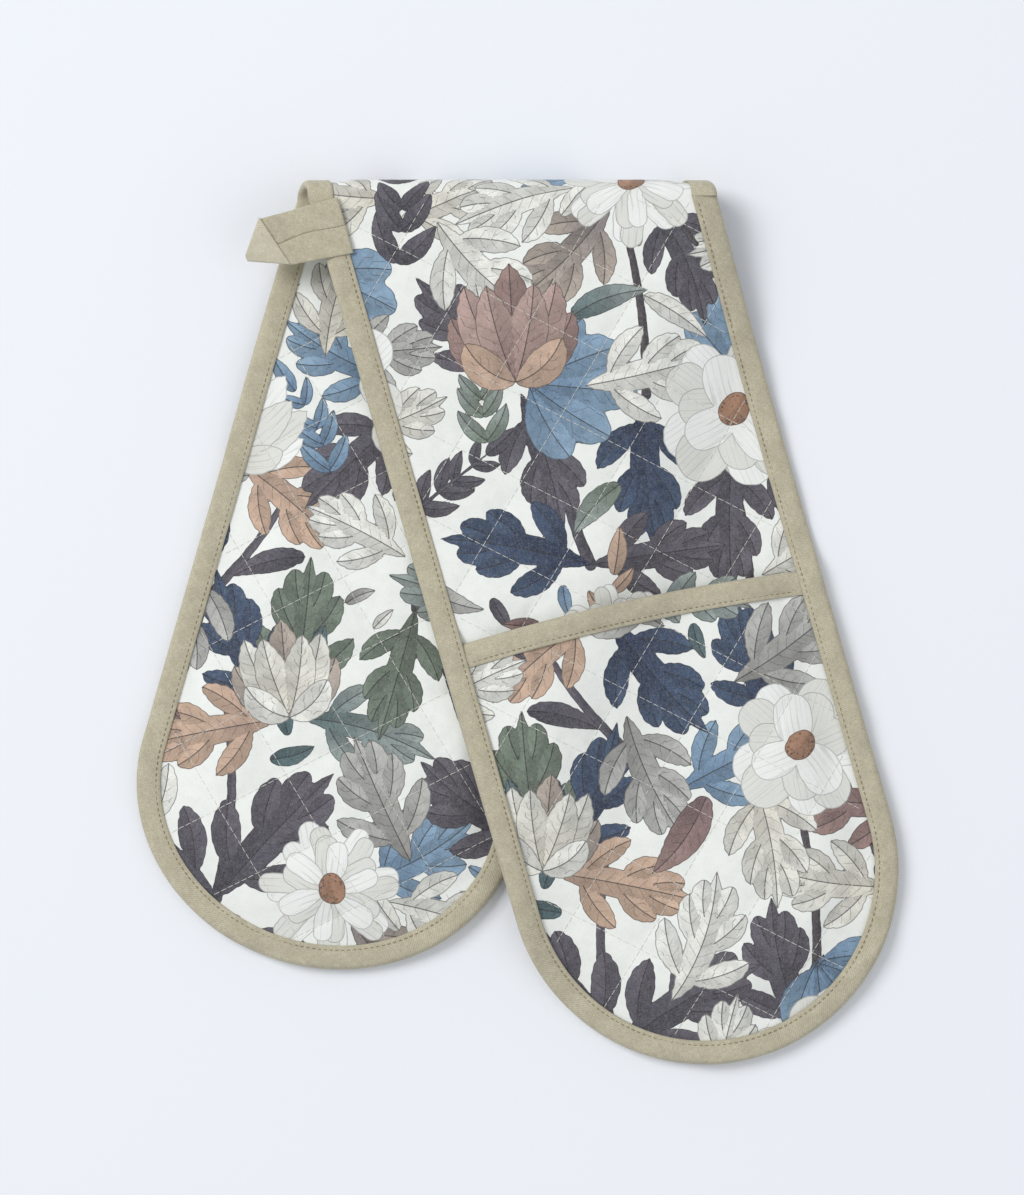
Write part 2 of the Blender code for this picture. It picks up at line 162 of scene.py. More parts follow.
def lattice_noise(x, y, cell, seed):
    """Smooth noise from -1 to 1 over the plane, with features about a cell wide."""
    side = 64
    values = np.random.default_rng(seed).uniform(-1.0, 1.0, (side, side))
    gx = np.asarray(x) / cell
    gy = np.asarray(y) / cell
    ix = np.floor(gx).astype(int)
    iy = np.floor(gy).astype(int)
    fx = smooth(gx - ix)
    fy = smooth(gy - iy)
    low = mix(values[ix % side, iy % side], values[(ix + 1) % side, iy % side], fx)
    high = mix(values[ix % side, (iy + 1) % side], values[(ix + 1) % side, (iy + 1) % side], fx)
    return mix(low, high, fy)


# ---- the glove's shape ----

class Half:
    """One half of the strip, and how it lies."""

    def __init__(self, name, length, end_reach, side, skew, bow):
        self.name = name
        self.body = f"{name}_half"
        self.length = length
        self.end_reach = end_reach
        self.side = side
        self.arc_start = length - end_reach
        self.hem = length - POCKET_DEPTH
        self.skew = skew
        self.bow = bow

    def inset(self, s, p):
        """Distance from the outline, inwards."""
        beyond = np.maximum(0.0, s - self.arc_start) * RADIUS / self.end_reach
        return RADIUS - np.hypot(p, beyond)

    def mouth(self, p):
        """Where the pocket's mouth lies along the half."""
        share = p / RADIUS
        return self.hem + self.skew * p + self.bow * (1.0 - share * share)

    def plan(self, s, p):
        """Where a pattern point lies on the table, from the fold's hinge."""
        x = HALF_SHIFT + s * math.sin(TILT) + p * math.cos(TILT)
        y = -s * math.cos(TILT) + p * math.sin(TILT)
        return self.side * x, y

    def back_height(self, s, p):
        """Height of the back cover over the level of the hinge, away from the other half."""
        x, y = self.plan(s, p)
        height = FOLD_RISE * (1.0 - smooth(-y / FOLD_LENGTH))
        if self.side > 0:
            corner = RADIUS / math.cos(TILT) - HALF_SHIFT
            past_rear = (x - corner) * math.cos(TILT) - y * math.sin(TILT)
            return height - DROP * smooth((past_rear - DROP_START) / DROP_LENGTH)
        near_pocket = smooth((s - self.hem) / SAG_FADE + 1.0)
        return height + EDGE_SAG * near_pocket * (1.0 - crown(self.inset(s, p)))

    def place(self, s, p, t):
        """The world point at a pattern point and a height over the back cover."""
        x, y = self.plan(s, p)
        z = FOLD_Z + self.side * (self.back_height(s, p) + t)
        return np.stack([x + FOLD_X, y + FOLD_Y, z], axis=-1)


def body(inset):
    """0 under the edge tape, 1 where the strip has its full thickness."""
    return smooth((inset - LIP_INSET) / (BODY_INSET - LIP_INSET))


def crown(inset):
    """The same for the pocket, which rises over a wider margin."""
    return smooth((inset - LIP_INSET) / (CROWN_INSET - LIP_INSET))


def quilt_lines(s, p, phase):
    """Signed distances to the nearest stitch line of each of the two directions."""
    found = []
    for sign, start in ((1.0, phase[0]), (-1.0, phase[1])):
        across = -s * math.sin(QUILT_ANGLE) + sign * p * math.cos(QUILT_ANGLE)
        turns = across / QUILT_SPACING + start
        found.append((turns - np.round(turns)) * QUILT_SPACING)
    return found


def quilt(s, p, phase):
    """0 on a stitch line, 1 on top of a diamond, with small puckers along the lines."""
    first, second = quilt_lines(s, p, phase)
    rise = 1.0
    for distance in (first, second):
        rise = rise * (1.0 - np.exp(-(np.abs(distance) / QUILT_SOFTNESS) ** 1.25))
    pucker = np.exp(-np.minimum(np.abs(first), np.abs(second)) / PUCKER_REACH)
    ripple = lattice_noise(s + p, s - p, PUCKER_CELL, 11) * pucker * PUCKER
    rumple = lattice_noise(s, p, RUMPLE_CELL, 5) * RUMPLE
    return rise + ripple + rumple


class Cover:
    """One quilted surface of a half: heights in the middle and under the edge tape, and its puffing.

    outward is 1 where its outer face is on the pocket side, -1 where it is on the plain side.
    """

    def __init__(self, half, heights, depth, phase, outward, mouth_height=None):
        self.half = half
        self.heights = heights
        self.depth = depth
        self.phase = phase
        self.outward = outward
        self.mouth_height = mouth_height

    def t(self, s, p):
        """Height over the back cover, pressed in along the stitch lines."""
        inset = self.half.inset(s, p)
        if self.mouth_height is None:
            height = mix(self.heights[1], self.heights[0], body(inset))
            fade = smooth((s - fold_row(p)) / FOLD_FADE)
        else:
            past_mouth = s - self.half.mouth(p)
            rise = smooth((past_mouth - MOUTH_RISE_START) / MOUTH_RISE)
            full = mix(self.mouth_height, self.heights[0], rise)
            height = mix(self.heights[1], full, crown(inset))
            fade = smooth((past_mouth - HEM_WIDTH) / HEM_FADE + 0.5)
        fade = fade * body(inset)
        press = self.depth * (1.0 - quilt(s, p, self.phase)) * fade
        return height - self.outward * press

    def __call__(self, s, p, lift=0.0):
        return self.half.place(s, p, self.t(s, p) + self.outward * lift)


# ---- meshes ----

def add_object(name, points, faces, material):
    """A smooth mesh from an array of points and an array of quads."""
    points = np.asarray(points, np.float32).reshape(-1, 3)
    faces = np.asarray(faces, np.int32)
    mesh = bpy.data.meshes.new(name)
    mesh.vertices.add(len(points))
    mesh.vertices.foreach_set("co", points.ravel())
    mesh.loops.add(faces.size)
    mesh.loops.foreach_set("vertex_index", faces.ravel())
    mesh.polygons.add(len(faces))
    mesh.polygons.foreach_set("loop_start", np.arange(0, faces.size, faces.shape[1], dtype=np.int32))
    mesh.update(calc_edges=True)
    mesh.validate()
    mesh.shade_smooth()
    mesh.materials.append(material)
    made = bpy.data.objects.new(name, mesh)
    bpy.context.scene.collection.objects.link(made)
    return made


def add_attribute(piece, name, kind, values):
    """Store a vector or a colour for each point."""
    attribute = piece.data.attributes.new(name, kind, "POINT")
    field = "color" if kind == "FLOAT_COLOR" else "vector"
    attribute.data.foreach_set(field, np.asarray(values, np.float32).ravel())


def grid_faces(rows, columns, flip=False, wrap=False):
    """Quads over a grid of points; wrap joins the last column to the first."""
    i = np.arange(rows - 1)[:, None]
    j = np.arange(columns if wrap else columns - 1)[None, :]
    following = (j + 1) % columns
    here = i * columns
    there = here + columns
    quads = np.stack([here + j, here + following, there + following, there + j], axis=-1).reshape(-1, 4)
    return quads[:, ::-1] if flip else quads


def panel_grid(half, first_row, cell, inset):
    """Pattern points of a panel, in rows from first_row(p) to the round end."""
    p_row = np.linspace(-1.0, 1.0, int(round(2 * (RADIUS - inset) / cell)) + 1) * (RADIUS - inset)
    first = first_row(p_row)
    level = float(np.max(first)) + LEVEL_ROW
    reach = half.end_reach - inset
    slanted = int(round((level - float(np.mean(first))) / cell)) + 1
    straight = max(2, int(round((half.arc_start - level) / cell)) + 1)
    round_end = int(round(reach * 1.25 / cell)) + 1
    rows = [(mix(first, level, share), p_row) for share in np.linspace(0.0, 1.0, slanted)[:-1]]
    rows += [(np.full_like(p_row, s), p_row) for s in np.linspace(level, half.arc_start, straight)[:-1]]
    for angle in np.linspace(0.0, LAST_ROW_ANGLE, round_end):
        s = half.arc_start + reach * math.sin(angle)
        rows.append((np.full_like(p_row, s), p_row * math.cos(angle)))
    return np.array([s for s, _ in rows]), np.array([p for _, p in rows])


def fold_row(p):
    """The slanted line where a half meets the bend."""
    return p * math.tan(TILT)


def pad_row(p):
    """The wadding of the halves stops just short of the fold."""
    return fold_row(p) + PAD_CLEARANCE


def sheet_piece(name, surface, first_row, cell, material, origin):
    """A cover as one fine sheet; it has the print where it has an origin on the tile."""
    s, p = panel_grid(surface.half, first_row, cell, COVER_INSET)
    faces = grid_faces(*s.shape, flip=surface.outward > 0)
    piece = add_object(name, surface(s, p), faces, material)
    if origin is not None:
        draw_print(piece, p * 1000 + origin[0], -s * 1000 + origin[1])
    return piece


def closed_slab(low, high):
    """Points and quads of the closed body between two grids."""
    rows, columns = low.shape[:2]
    count = rows * columns
    rim = [i * columns for i in range(rows)]
    rim += [(rows - 1) * columns + j for j in range(1, columns)]
    rim += [i * columns + columns - 1 for i in range(rows - 2, -1, -1)]
    rim += [j for j in range(columns - 2, 0, -1)]
    faces = [grid_faces(rows, columns), grid_faces(rows, columns, flip=True) + count]
    following = rim[1:] + rim[:1]
    faces.append(np.array([(a + count, b + count, b, a) for a, b in zip(rim, following)]))
    return np.concatenate([low.reshape(-1, 3), high.reshape(-1, 3)]), np.concatenate(faces)


def wadding_piece(name, lower, upper, first_row, material):
    """The wadding between two covers, squeezed where they are stitched together."""
    half = upper.half
    s, p = panel_grid(half, first_row, WADDING_CELL, WADDING_INSET)
    low, high = lower.t(s, p), upper.t(s, p)
    gap = np.minimum(WADDING_GAP, WADDING_GAP_SHARE * (high - low))
    points, faces = closed_slab(half.place(s, p, low + gap), half.place(s, p, high - gap))
    return add_object(name, points, faces, material)


# ---- the print, in millimetres ----
TILE = np.array([300.0, 350.0])
PRINT_LAYERS = 9
LEAF_LAYERS = 4
RASTER = 2.0                # cells that the layout is planned on
CLEARANCE = 1.3             # least distance between two motifs of a layer
CLAIMED = 0.4               # what a motif claims round its own outline
STROKE_MARGIN = 3.0         # distances are stored this far round a stroke
FAR_AWAY = 9.0

INK = {
    "charcoal": srgb(76, 73, 82), "navy": srgb(47, 56, 80), "slate": srgb(92, 110, 112),
    "blue": srgb(104, 130, 156), "sage": srgb(112, 124, 110), "olive": srgb(92, 100, 88),
    "taupe": srgb(126, 118, 116), "pink": srgb(150, 124, 118), "rose": srgb(124, 102, 102),
    "tan": srgb(178, 152, 134), "grey": srgb(146, 144, 140), "pale": srgb(216, 215, 207),
    "white": srgb(241, 242, 238), "shade": srgb(224, 224, 217), "yellow": srgb(214, 194, 150),
    "brown": srgb(160, 122, 98), "bark": srgb(78, 72, 76), "teal": srgb(76, 98, 102),
    "dusk": srgb(96, 91, 100), "denim": srgb(66, 82, 106), "mist": srgb(146, 156, 152),
    "haze": srgb(132, 158, 180), "sand": srgb(176, 164, 152), "blush": srgb(180, 154, 146),
    "apricot": srgb(194, 166, 144), "silver": srgb(178, 178, 173), "cream": srgb(210, 205, 191),
}
TIPS = {
    "charcoal": "dusk", "navy": "denim", "slate": "mist", "blue": "haze", "sage": "mist", "olive": "sage",
    "taupe": "sand", "pink": "blush", "rose": "pink", "tan": "apricot", "grey": "silver", "pale": "shade",
    "teal": "slate", "cream": "pale",
}
PLAIN, VEINED, PETAL, SEEDED = 0.0, 1.0, 0.5, 0.25


def spine(start, angle, length, bend, count=11):
    """Points along an arc that starts at an angle and turns by bend in all."""
    heading = angle + bend * np.linspace(0.0, 1.0, count)
    steps = np.stack([np.cos(heading), np.sin(heading)], axis=1) * length / (count - 1)
    return np.asarray(start, float) + np.concatenate([[(0.0, 0.0)], np.cumsum(steps[:-1], axis=0)])


def leaf_width(share, width, fullness=0.75):
    """Radii of a leaf, which is broadest past its middle where fullness is above 1."""
    return width * np.sin(math.pi * np.clip(share, 0.0, 1.0) ** fullness) ** 0.9 + 0.25


def petal_width(share, width):
    """Radii of a petal, which is broadest at its tip."""
    return width * smooth(share / 0.75) ** 0.8 + 0.3


class Stroke:
    """A brush stroke: a line of points with a radius at each."""

    def __init__(self, points, radii, flavour, tint_start=0.0):
        self.points = points
        self.radii = radii
        self.flavour = flavour
        self.tint_start = tint_start
        self.length = float(np.hypot(*np.diff(points, axis=0).T).sum())

    def box(self, margin):
        reach = self.radii.max() + margin
        return self.points.min(0) - reach, self.points.max(0) + reach

    def distances(self, x, y):
        """Signed distance to the outline, signed distance to the spine and length along it."""
        best = np.full(x.shape, 1e9)
        side = np.zeros(x.shape)
        along = np.zeros(x.shape)
        walked = 0.0
        for a, b, ra, rb in zip(self.points[:-1], self.points[1:], self.radii[:-1], self.radii[1:]):
            step = b - a
            length = math.hypot(*step)
            share = np.clip(((x - a[0]) * step[0] + (y - a[1]) * step[1]) / length ** 2, 0.0, 1.0)
            dx = x - a[0] - share * step[0]
            dy = y - a[1] - share * step[1]
            away = np.hypot(dx, dy)
            outline = away - mix(ra, rb, share)
            nearer = outline < best
            best = np.where(nearer, outline, best)
            off_line = (step[0] * (y - a[1]) - step[1] * (x - a[0])) / length
            side = np.where(nearer, off_line, side)
            along = np.where(nearer, walked + share * length, along)
            walked += length
        return best, side, along


class Motif:
    """Strokes that print as one shape, in a colour that turns to its tip colour along them."""

    def __init__(self, strokes, colour):
        self.strokes = strokes
        self.colour = np.array(INK[colour])
        self.tip_colour = np.array(INK[TIPS.get(colour, colour)])
        self.layer = 0

    def tint(self, stroke, along):
        share = mix(stroke.tint_start, 1.0, smooth(along / stroke.length))
        return mix(self.colour, self.tip_colour, share[:, None])


def simple_leaf(at, angle, length, width, colour, bend):
    """One plain pointed leaf."""
    points = spine(at, angle, length, bend)
    share = np.linspace(0.0, 1.0, len(points))
    return [Motif([Stroke(points, leaf_width(share, width), VEINED)], colour)]


def lobed_leaf(at, angle, length, colour, bend, breadth):
    """A broad leaf whose lobes point forwards from its midrib."""
    pairs = 3
    points = spine(at, angle, length, bend, 13)
    share = np.linspace(0.0, 1.0, len(points))
    strokes = [Stroke(points, leaf_width(share, 0.115 * length * breadth, 0.9), VEINED)]
    for k in range(pairs):
        where = 0.20 + 0.42 * k / (pairs - 1)
        index = int(round(where * (len(points) - 1)))
        heading = angle + bend * where
        reach = length * (0.52 - 0.15 * k / (pairs - 1)) * breadth
        for side in (-1.0, 1.0):
            lobe = spine(points[index], heading + side * math.radians(58 - 14 * k), reach,
                         -side * math.radians(30), 9)
            along = np.linspace(0.0, 1.0, len(lobe))
            strokes.append(Stroke(lobe, leaf_width(along, 0.095 * length * breadth, 1.25), VEINED, where))
    return [Motif(strokes, colour)]


def fan_leaf(at, angle, length, colour):
    """A round leaf whose lobes spread from its base."""
    lobes = 5
    strokes = []
    for k in range(lobes):
        turn = mix(-1.15, 1.15, k / (lobes - 1))
        reach = length * (1.0 - 0.22 * abs(turn))
        points = spine(at, angle + turn, reach, -0.35 * turn, 10)
        strokes.append(Stroke(points, leaf_width(np.linspace(0.0, 1.0, 10), 0.20 * length, 1.5), VEINED))
    return [Motif(strokes, colour)]


def stem(at, angle, length, bend, width, colour):
    """A plain stalk, which thins towards its end."""
    points = spine(at, angle, length, bend, 14)
    return [Motif([Stroke(points, np.linspace(width, width * 0.55, 14), PLAIN)], colour)]


def sprig(at, angle, length, colour, dark, bend, leaf, paired):
    """A curved twig with small leaves, in pairs or by turns, and one at its end."""
    pairs = 4
    points = spine(at, angle, length, bend, 14)
    strokes = []
    for k in range(pairs):
        index = min(13, 2 + int(round((k + 0.3) * 11 / pairs)))
        heading = angle + bend * index / 13
        size = length * leaf * (1.0 - 0.10 * k)
        for side in ((-1.0, 1.0) if paired else ((-1.0) ** k,)):
            blade = spine(points[index], heading + side * 0.85, size, -side * 0.5)
            strokes.append(Stroke(blade, leaf_width(np.linspace(0.0, 1.0, 11), size * 0.20), VEINED))
    last = spine(points[-1], angle + bend, length * leaf, 0.2)
    strokes.append(Stroke(last, leaf_width(np.linspace(0.0, 1.0, 11), length * leaf * 0.20), VEINED))
    twig = Stroke(points, np.linspace(length * 0.022, length * 0.012, 14), PLAIN)
    return [Motif(strokes, colour), Motif([twig], dark)]


def open_flower(at, size, turn, colours, rings):
    """Rings of overlapping petals round a seeded centre; a ring is a count, a reach and a petal width."""
    made = []
    at = np.asarray(at, float)
    for ring, (count, reach, width) in enumerate(rings):
        for parity in (0, 1):
            strokes = []
            for k in range(parity, count, 2):
                angle = turn + 2 * math.pi * (k + 0.5 * ring) / count
                length = size * reach * (1.0 - 0.9 * width) * (1.0 + 0.09 * math.sin(3.0 * k + turn))
                points = spine(at, angle, length, 0.3 * (-1) ** k, 9)
                radii = petal_width(np.linspace(0.0, 1.0, 9), size * width * (1.0 + 0.1 * math.cos(5.0 * k)))
                strokes.append(Stroke(points, radii, PETAL))
            made.append(Motif(strokes, colours[(parity + ring) % 2]))
    middle = spine(at - (size * 0.05, 0.0), turn, size * 0.14, 0.6, 4)
    made.append(Motif([Stroke(middle, size * 0.20 * np.array([0.9, 1.0, 0.95, 0.8]), SEEDED)], "brown"))
    return made


def cup_flower(at, angle, size, colours, flavour):
    """Upright overlapping petals, seen from the side; a fan is a turn, a reach, a tone and a width."""
    made = []
    fans = ((1.10, 0.86, 1, 0.17), (0.66, 1.0, 0, 0.19), (0.0, 1.08, 1, 0.21), (0.36, 0.92, 0, 0.18),
            (1.30, 0.60, 2, 0.16), (0.0, 0.70, 0, 0.20))
    for turn, reach, tone, width in fans:
        strokes = []
        for side in ((-1.0, 1.0) if turn else (1.0,)):
            points = spine(at, angle + side * turn, size * reach, -side * 0.75 * turn, 10)
            radii = leaf_width(np.linspace(0.0, 1.0, 10), size * width, 1.05)
            strokes.append(Stroke(points, radii, flavour))
        made.append(Motif(strokes, colours[tone]))
    return made


class Design:
    """The repeating tile: it keeps motifs in layers, so that no two in a layer overlap."""

    def __init__(self):
        self.motifs = []
        cells = np.round(TILE / RASTER).astype(int)
        self.level = np.zeros(cells, int)
        self.random = np.random.default_rng(20)

    def footprint(self, motif, margin):
        """Index arrays of the raster cells that the motif covers."""
        cells = np.array(self.level.shape)
        found = []
        for stroke in motif.strokes:
            low, high = stroke.box(margin)
            gx = np.arange(math.floor(low[0] / RASTER), math.ceil(high[0] / RASTER) + 1)
            gy = np.arange(math.floor(low[1] / RASTER), math.ceil(high[1] / RASTER) + 1)
            x, y = np.meshgrid(gx, gy, indexing="ij")
            inside = stroke.distances(x * RASTER, y * RASTER)[0] < margin
            found.append(np.stack([x[inside] % cells[0], y[inside] % cells[1]], axis=1))
        found = np.unique(np.concatenate(found), axis=0)
        return found[:, 0], found[:, 1]

    def covered(self, motifs):
        """Share of the motifs' area that is already covered."""
        used = [self.level[self.footprint(motif, 0.0)] > 0 for motif in motifs]
        return np.concatenate(used).mean()

    def add(self, motifs, limit=PRINT_LAYERS):
        """Paint the motifs over what is there, each on the lowest layer that is free."""
        for motif in motifs:
            layer = int(self.level[self.footprint(motif, CLEARANCE)].max())
            if layer >= limit:
                continue
            motif.layer = layer
            self.level[self.footprint(motif, CLAIMED)] = layer + 1
            self.motifs.append(motif)

    def scatter(self, make, tries, most_covered, limit):
        """Try random places, and keep what lies mostly on open ground."""
        kept = 0
        for _ in range(tries):
            at = self.random.uniform(0.0, 1.0, 2) * TILE
            motifs = make(self.random, at, kept)
            if self.covered(motifs) < most_covered:
                self.add(motifs, limit)
                kept += 1


BIG_COLOURS = ("charcoal", "blue", "charcoal", "navy", "taupe", "charcoal", "tan", "slate", "charcoal",
               "navy", "olive", "charcoal", "rose")
GHOST_COLOURS = ("grey", "cream", "pale", "pale", "cream")
SMALL_COLOURS = ("teal", "taupe", "charcoal", "sage", "grey", "olive", "slate", "rose", "pale", "blue",
                 "yellow")
BRANCH_COLOURS = ("teal", "charcoal", "tan", "sage", "taupe", "blue", "grey", "tan", "navy", "olive")


def large_leaf(random, at, k, angle=None):
    """A lobed leaf, or now and then a round blue one."""
    if angle is None:
        angle = math.pi / 2 + random.uniform(-1.7, 1.7)
    if k % 7 == 4:
        return fan_leaf(at, angle, random.uniform(44, 52), "blue")
    size = random.uniform(58, 80)
    return lobed_leaf(at, angle, size, BIG_COLOURS[k % len(BIG_COLOURS)], random.uniform(-0.6, 0.6),
                      random.uniform(0.78, 0.95))


def ghost_leaf(random, at, k):
    """A pale broad leaf for the ground between the others."""
    return lobed_leaf(at, random.uniform(0.0, 2 * math.pi), random.uniform(46, 66),
                      GHOST_COLOURS[k % len(GHOST_COLOURS)], random.uniform(-0.6, 0.6), 0.95)


def branch(random, at, k):
    """A sprig on a dark twig."""
    colour = BRANCH_COLOURS[k % len(BRANCH_COLOURS)]
    dark = "bark" if colour in ("tan", "taupe", "grey") else "charcoal"
    return sprig(at, math.pi / 2 + random.uniform(-1.3, 1.3), random.uniform(46, 66), colour, dark,
                 random.uniform(-0.9, 0.9), random.uniform(0.34, 0.41), bool(k % 2))


def medium_leaf(random, at, k):
    """A plain leaf of middling size."""
    size = random.uniform(30, 46)
    return simple_leaf(at, random.uniform(0.0, 2 * math.pi), size, size * random.uniform(0.14, 0.22),
                       SMALL_COLOURS[k % len(SMALL_COLOURS)], random.uniform(-0.7, 0.7))


def tiny_leaf(random, at, k):
    """A small leaf for the last open ground."""
    size = random.uniform(12, 20)
    return simple_leaf(at, random.uniform(0.0, 2 * math.pi), size, size * 0.2,
                       SMALL_COLOURS[(3 * k) % len(SMALL_COLOURS)], random.uniform(-0.7, 0.7))


def make_design():
    """Flowers at listed places, with leaves spreading from behind them, and foliage between."""
    design = Design()
    chance = design.random
    daisy = ((15, 1.0, 0.15), (12, 0.72, 0.15))
    peony = ((9, 1.0, 0.31), (7, 0.66, 0.27))
    flowers = [((62, 268), 36, peony), ((222, 322), 31, daisy), ((240, 206), 35, peony),
               ((92, 66), 32, peony), ((158, 120), 25, daisy)]
    cups = [((146, 246), 1.35, 50, ("pink", "rose", "tan"), VEINED),
            ((22, 152), 1.9, 42, ("shade", "white", "pale"), PETAL),
            ((262, 44), 1.2, 42, ("cream", "taupe", "pale"), VEINED)]
    feet = []
    for (x, y), size, _ in flowers:
        feet.append((x - 20, y - 98))
        design.add(stem(feet[-1], 1.3, 100, 0.35, 2.3, "bark"), 1)
    for (x, y), angle, *_ in cups:
        feet.append((x + 10, y - 90))
        design.add(stem(feet[-1], angle + 0.35, 92, -0.45, 2.8, "charcoal"), 1)
    spots = [(place, size * 0.5) for place, size, _ in flowers] + [(place, 6.0) for place, *_ in cups]
    spots += [(foot, 0.0) for foot in feet]
    for k, (place, offset) in enumerate(spots * 5):
        angle = chance.uniform(0.0, 2 * math.pi)
        at = np.array(place) + offset * np.array([math.cos(angle), math.sin(angle)])
        leaf = large_leaf(chance, at, k, angle)
        if design.covered(leaf) < 0.25:
            design.add(leaf, LEAF_LAYERS)
    design.scatter(ghost_leaf, 300, 0.38, LEAF_LAYERS)
    design.scatter(branch, 260, 0.38, LEAF_LAYERS)
    design.scatter(large_leaf, 300, 0.32, LEAF_LAYERS)
    design.scatter(medium_leaf, 600, 0.35, LEAF_LAYERS)
    design.scatter(tiny_leaf, 500, 0.08, LEAF_LAYERS)
    for (x, y), size, rings in flowers:
        design.add(open_flower((x, y), size, chance.uniform(0.0, 1.0), ("white", "shade"), rings))
    for place, angle, size, colours, flavour in cups:
        design.add(cup_flower(place, angle, size, colours, flavour))
    return design


DESIGN = make_design()


def draw_print(piece, x, y):
    """Store each print layer on the mesh: distances in one attribute, colour and flavour in another."""
    x = x.ravel()
    y = y.ravel()
    low = np.array([x.min(), y.min()])
    high = np.array([x.max(), y.max()])
    distances = np.tile((FAR_AWAY, FAR_AWAY, 0.0), (PRINT_LAYERS, len(x), 1)).astype(np.float32)
    colours = np.zeros((PRINT_LAYERS, len(x), 4), np.float32)
    for motif in DESIGN.motifs:
        for stroke in motif.strokes:
            start, end = stroke.box(STROKE_MARGIN)
            first = np.ceil((low - end) / TILE).astype(int)
            last = np.floor((high - start) / TILE).astype(int)
            for i in range(first[0], last[0] + 1):
                for j in range(first[1], last[1] + 1):
                    shift = TILE * (i, j)
                    near = np.nonzero((x > start[0] + shift[0]) & (x < end[0] + shift[0])
                                      & (y > start[1] + shift[1]) & (y < end[1] + shift[1]))[0]
                    if not len(near):
                        continue
                    outline, side, along = stroke.distances(x[near] - shift[0], y[near] - shift[1])
                    nearer = outline < distances[motif.layer, near, 0]
                    chosen = near[nearer]
                    distances[motif.layer, chosen] = np.stack([outline, side, along], axis=1)[nearer]
                    colours[motif.layer, chosen, :3] = motif.tint(stroke, along)[nearer]
                    colours[motif.layer, chosen, 3] = stroke.flavour
    add_attribute(piece, "cloth", "FLOAT_VECTOR", np.stack([x, y, np.zeros_like(x)], axis=1))
    for layer in range(PRINT_LAYERS):
        add_attribute(piece, f"stroke{layer}", "FLOAT_VECTOR", distances[layer])
        add_attribute(piece, f"ink{layer}", "FLOAT_COLOR", colours[layer])


# ---- materials ----

class Nodes:
    """A material, with short names for the node kinds that it uses."""

    def __init__(self, name, roughness, sheen):
        self.material = bpy.data.materials.new(name)
        self.material.use_nodes = True
        self.tree = self.material.node_tree
        self.shader = self.tree.nodes["Principled BSDF"]
        self.shader.inputs["Roughness"].default_value = roughness
        self.shader.inputs["Specular IOR Level"].default_value = 0.25
        self.shader.inputs["Sheen Weight"].default_value = sheen
        self.shader.inputs["Sheen Roughness"].default_value = 0.6

    def link(self, source, socket):
        if isinstance(source, (int, float)):
            socket.default_value = source
        elif isinstance(source, tuple):
            socket.default_value = (*source, 1.0)[:len(socket.default_value)]
        else:
            self.tree.links.new(source, socket)

    def math(self, operation, a, b=0.0, c=0.0):
        node = self.tree.nodes.new("ShaderNodeMath")
        node.operation = operation
        for value, socket in zip((a, b, c), node.inputs):
            self.link(value, socket)
        return node.outputs[0]

    def ramp(self, value, start, end, low=0.0, high=1.0):
        node = self.tree.nodes.new("ShaderNodeMapRange")
        node.interpolation_type = "SMOOTHSTEP"
        for source, socket in zip((value, start, end, low, high), node.inputs):
            self.link(source, socket)
        return node.outputs[0]

    def blend(self, share, a, b, mode="MIX"):
        node = self.tree.nodes.new("ShaderNodeMix")
        node.data_type = "RGBA"
        node.blend_type = mode
        self.link(share, node.inputs[0])
        self.link(a, node.inputs[6])
        self.link(b, node.inputs[7])
        return node.outputs[2]

    def attribute(self, name):
        node = self.tree.nodes.new("ShaderNodeAttribute")
        node.attribute_name = name
        return node.outputs

    def parts(self, vector):
        node = self.tree.nodes.new("ShaderNodeSeparateXYZ")
        self.link(vector, node.inputs[0])
        return node.outputs

    def scaled(self, vector, scale):
        node = self.tree.nodes.new("ShaderNodeVectorMath")
        node.operation = "MULTIPLY"
        self.link(vector, node.inputs[0])
        node.inputs[1].default_value = scale
        return node.outputs[0]

    def noise(self, vector, scale, detail=2.0):
        node = self.tree.nodes.new("ShaderNodeTexNoise")
        self.link(vector, node.inputs["Vector"])
        node.inputs["Scale"].default_value = scale
        node.inputs["Detail"].default_value = detail
        return node.outputs[0]

    def spots(self, vector, scale):
        node = self.tree.nodes.new("ShaderNodeTexVoronoi")
        self.link(vector, node.inputs["Vector"])
        node.inputs["Scale"].default_value = scale
        return node.outputs["Distance"]

    def bump(self, height, strength, distance):
        node = self.tree.nodes.new("ShaderNodeBump")
        node.inputs["Strength"].default_value = strength
        node.inputs["Distance"].default_value = distance
        self.link(height, node.inputs["Height"])
        self.link(node.outputs[0], self.shader.inputs["Normal"])

    def colour(self, value):
        self.link(value, self.shader.inputs["Base Color"])
        return self.material


GROUND = srgb(241, 243, 238)
OUTLINE = srgb(48, 46, 50)
PETAL_SHADOW = srgb(172, 172, 160)
FADED = srgb(196, 198, 194)
VEIN_SPACING = 5.2          # in millimetres, as all that is drawn on the cloth
TWILL_SPACING = 1.2


def weave(nodes, cloth, thread):
    """Uneven crossing threads, from 0 to 1; cloth is in millimetres and thread is a thread's width."""
    along = nodes.noise(nodes.scaled(cloth, (1.0 / thread, 0.14 / thread, 1.0)), 1.0, 1.0)
    across = nodes.noise(nodes.scaled(cloth, (0.14 / thread, 1.0 / thread, 1.0)), 1.0, 1.0)
    return nodes.math("ADD", nodes.math("MULTIPLY", along, 0.5), nodes.math("MULTIPLY", across, 0.5))


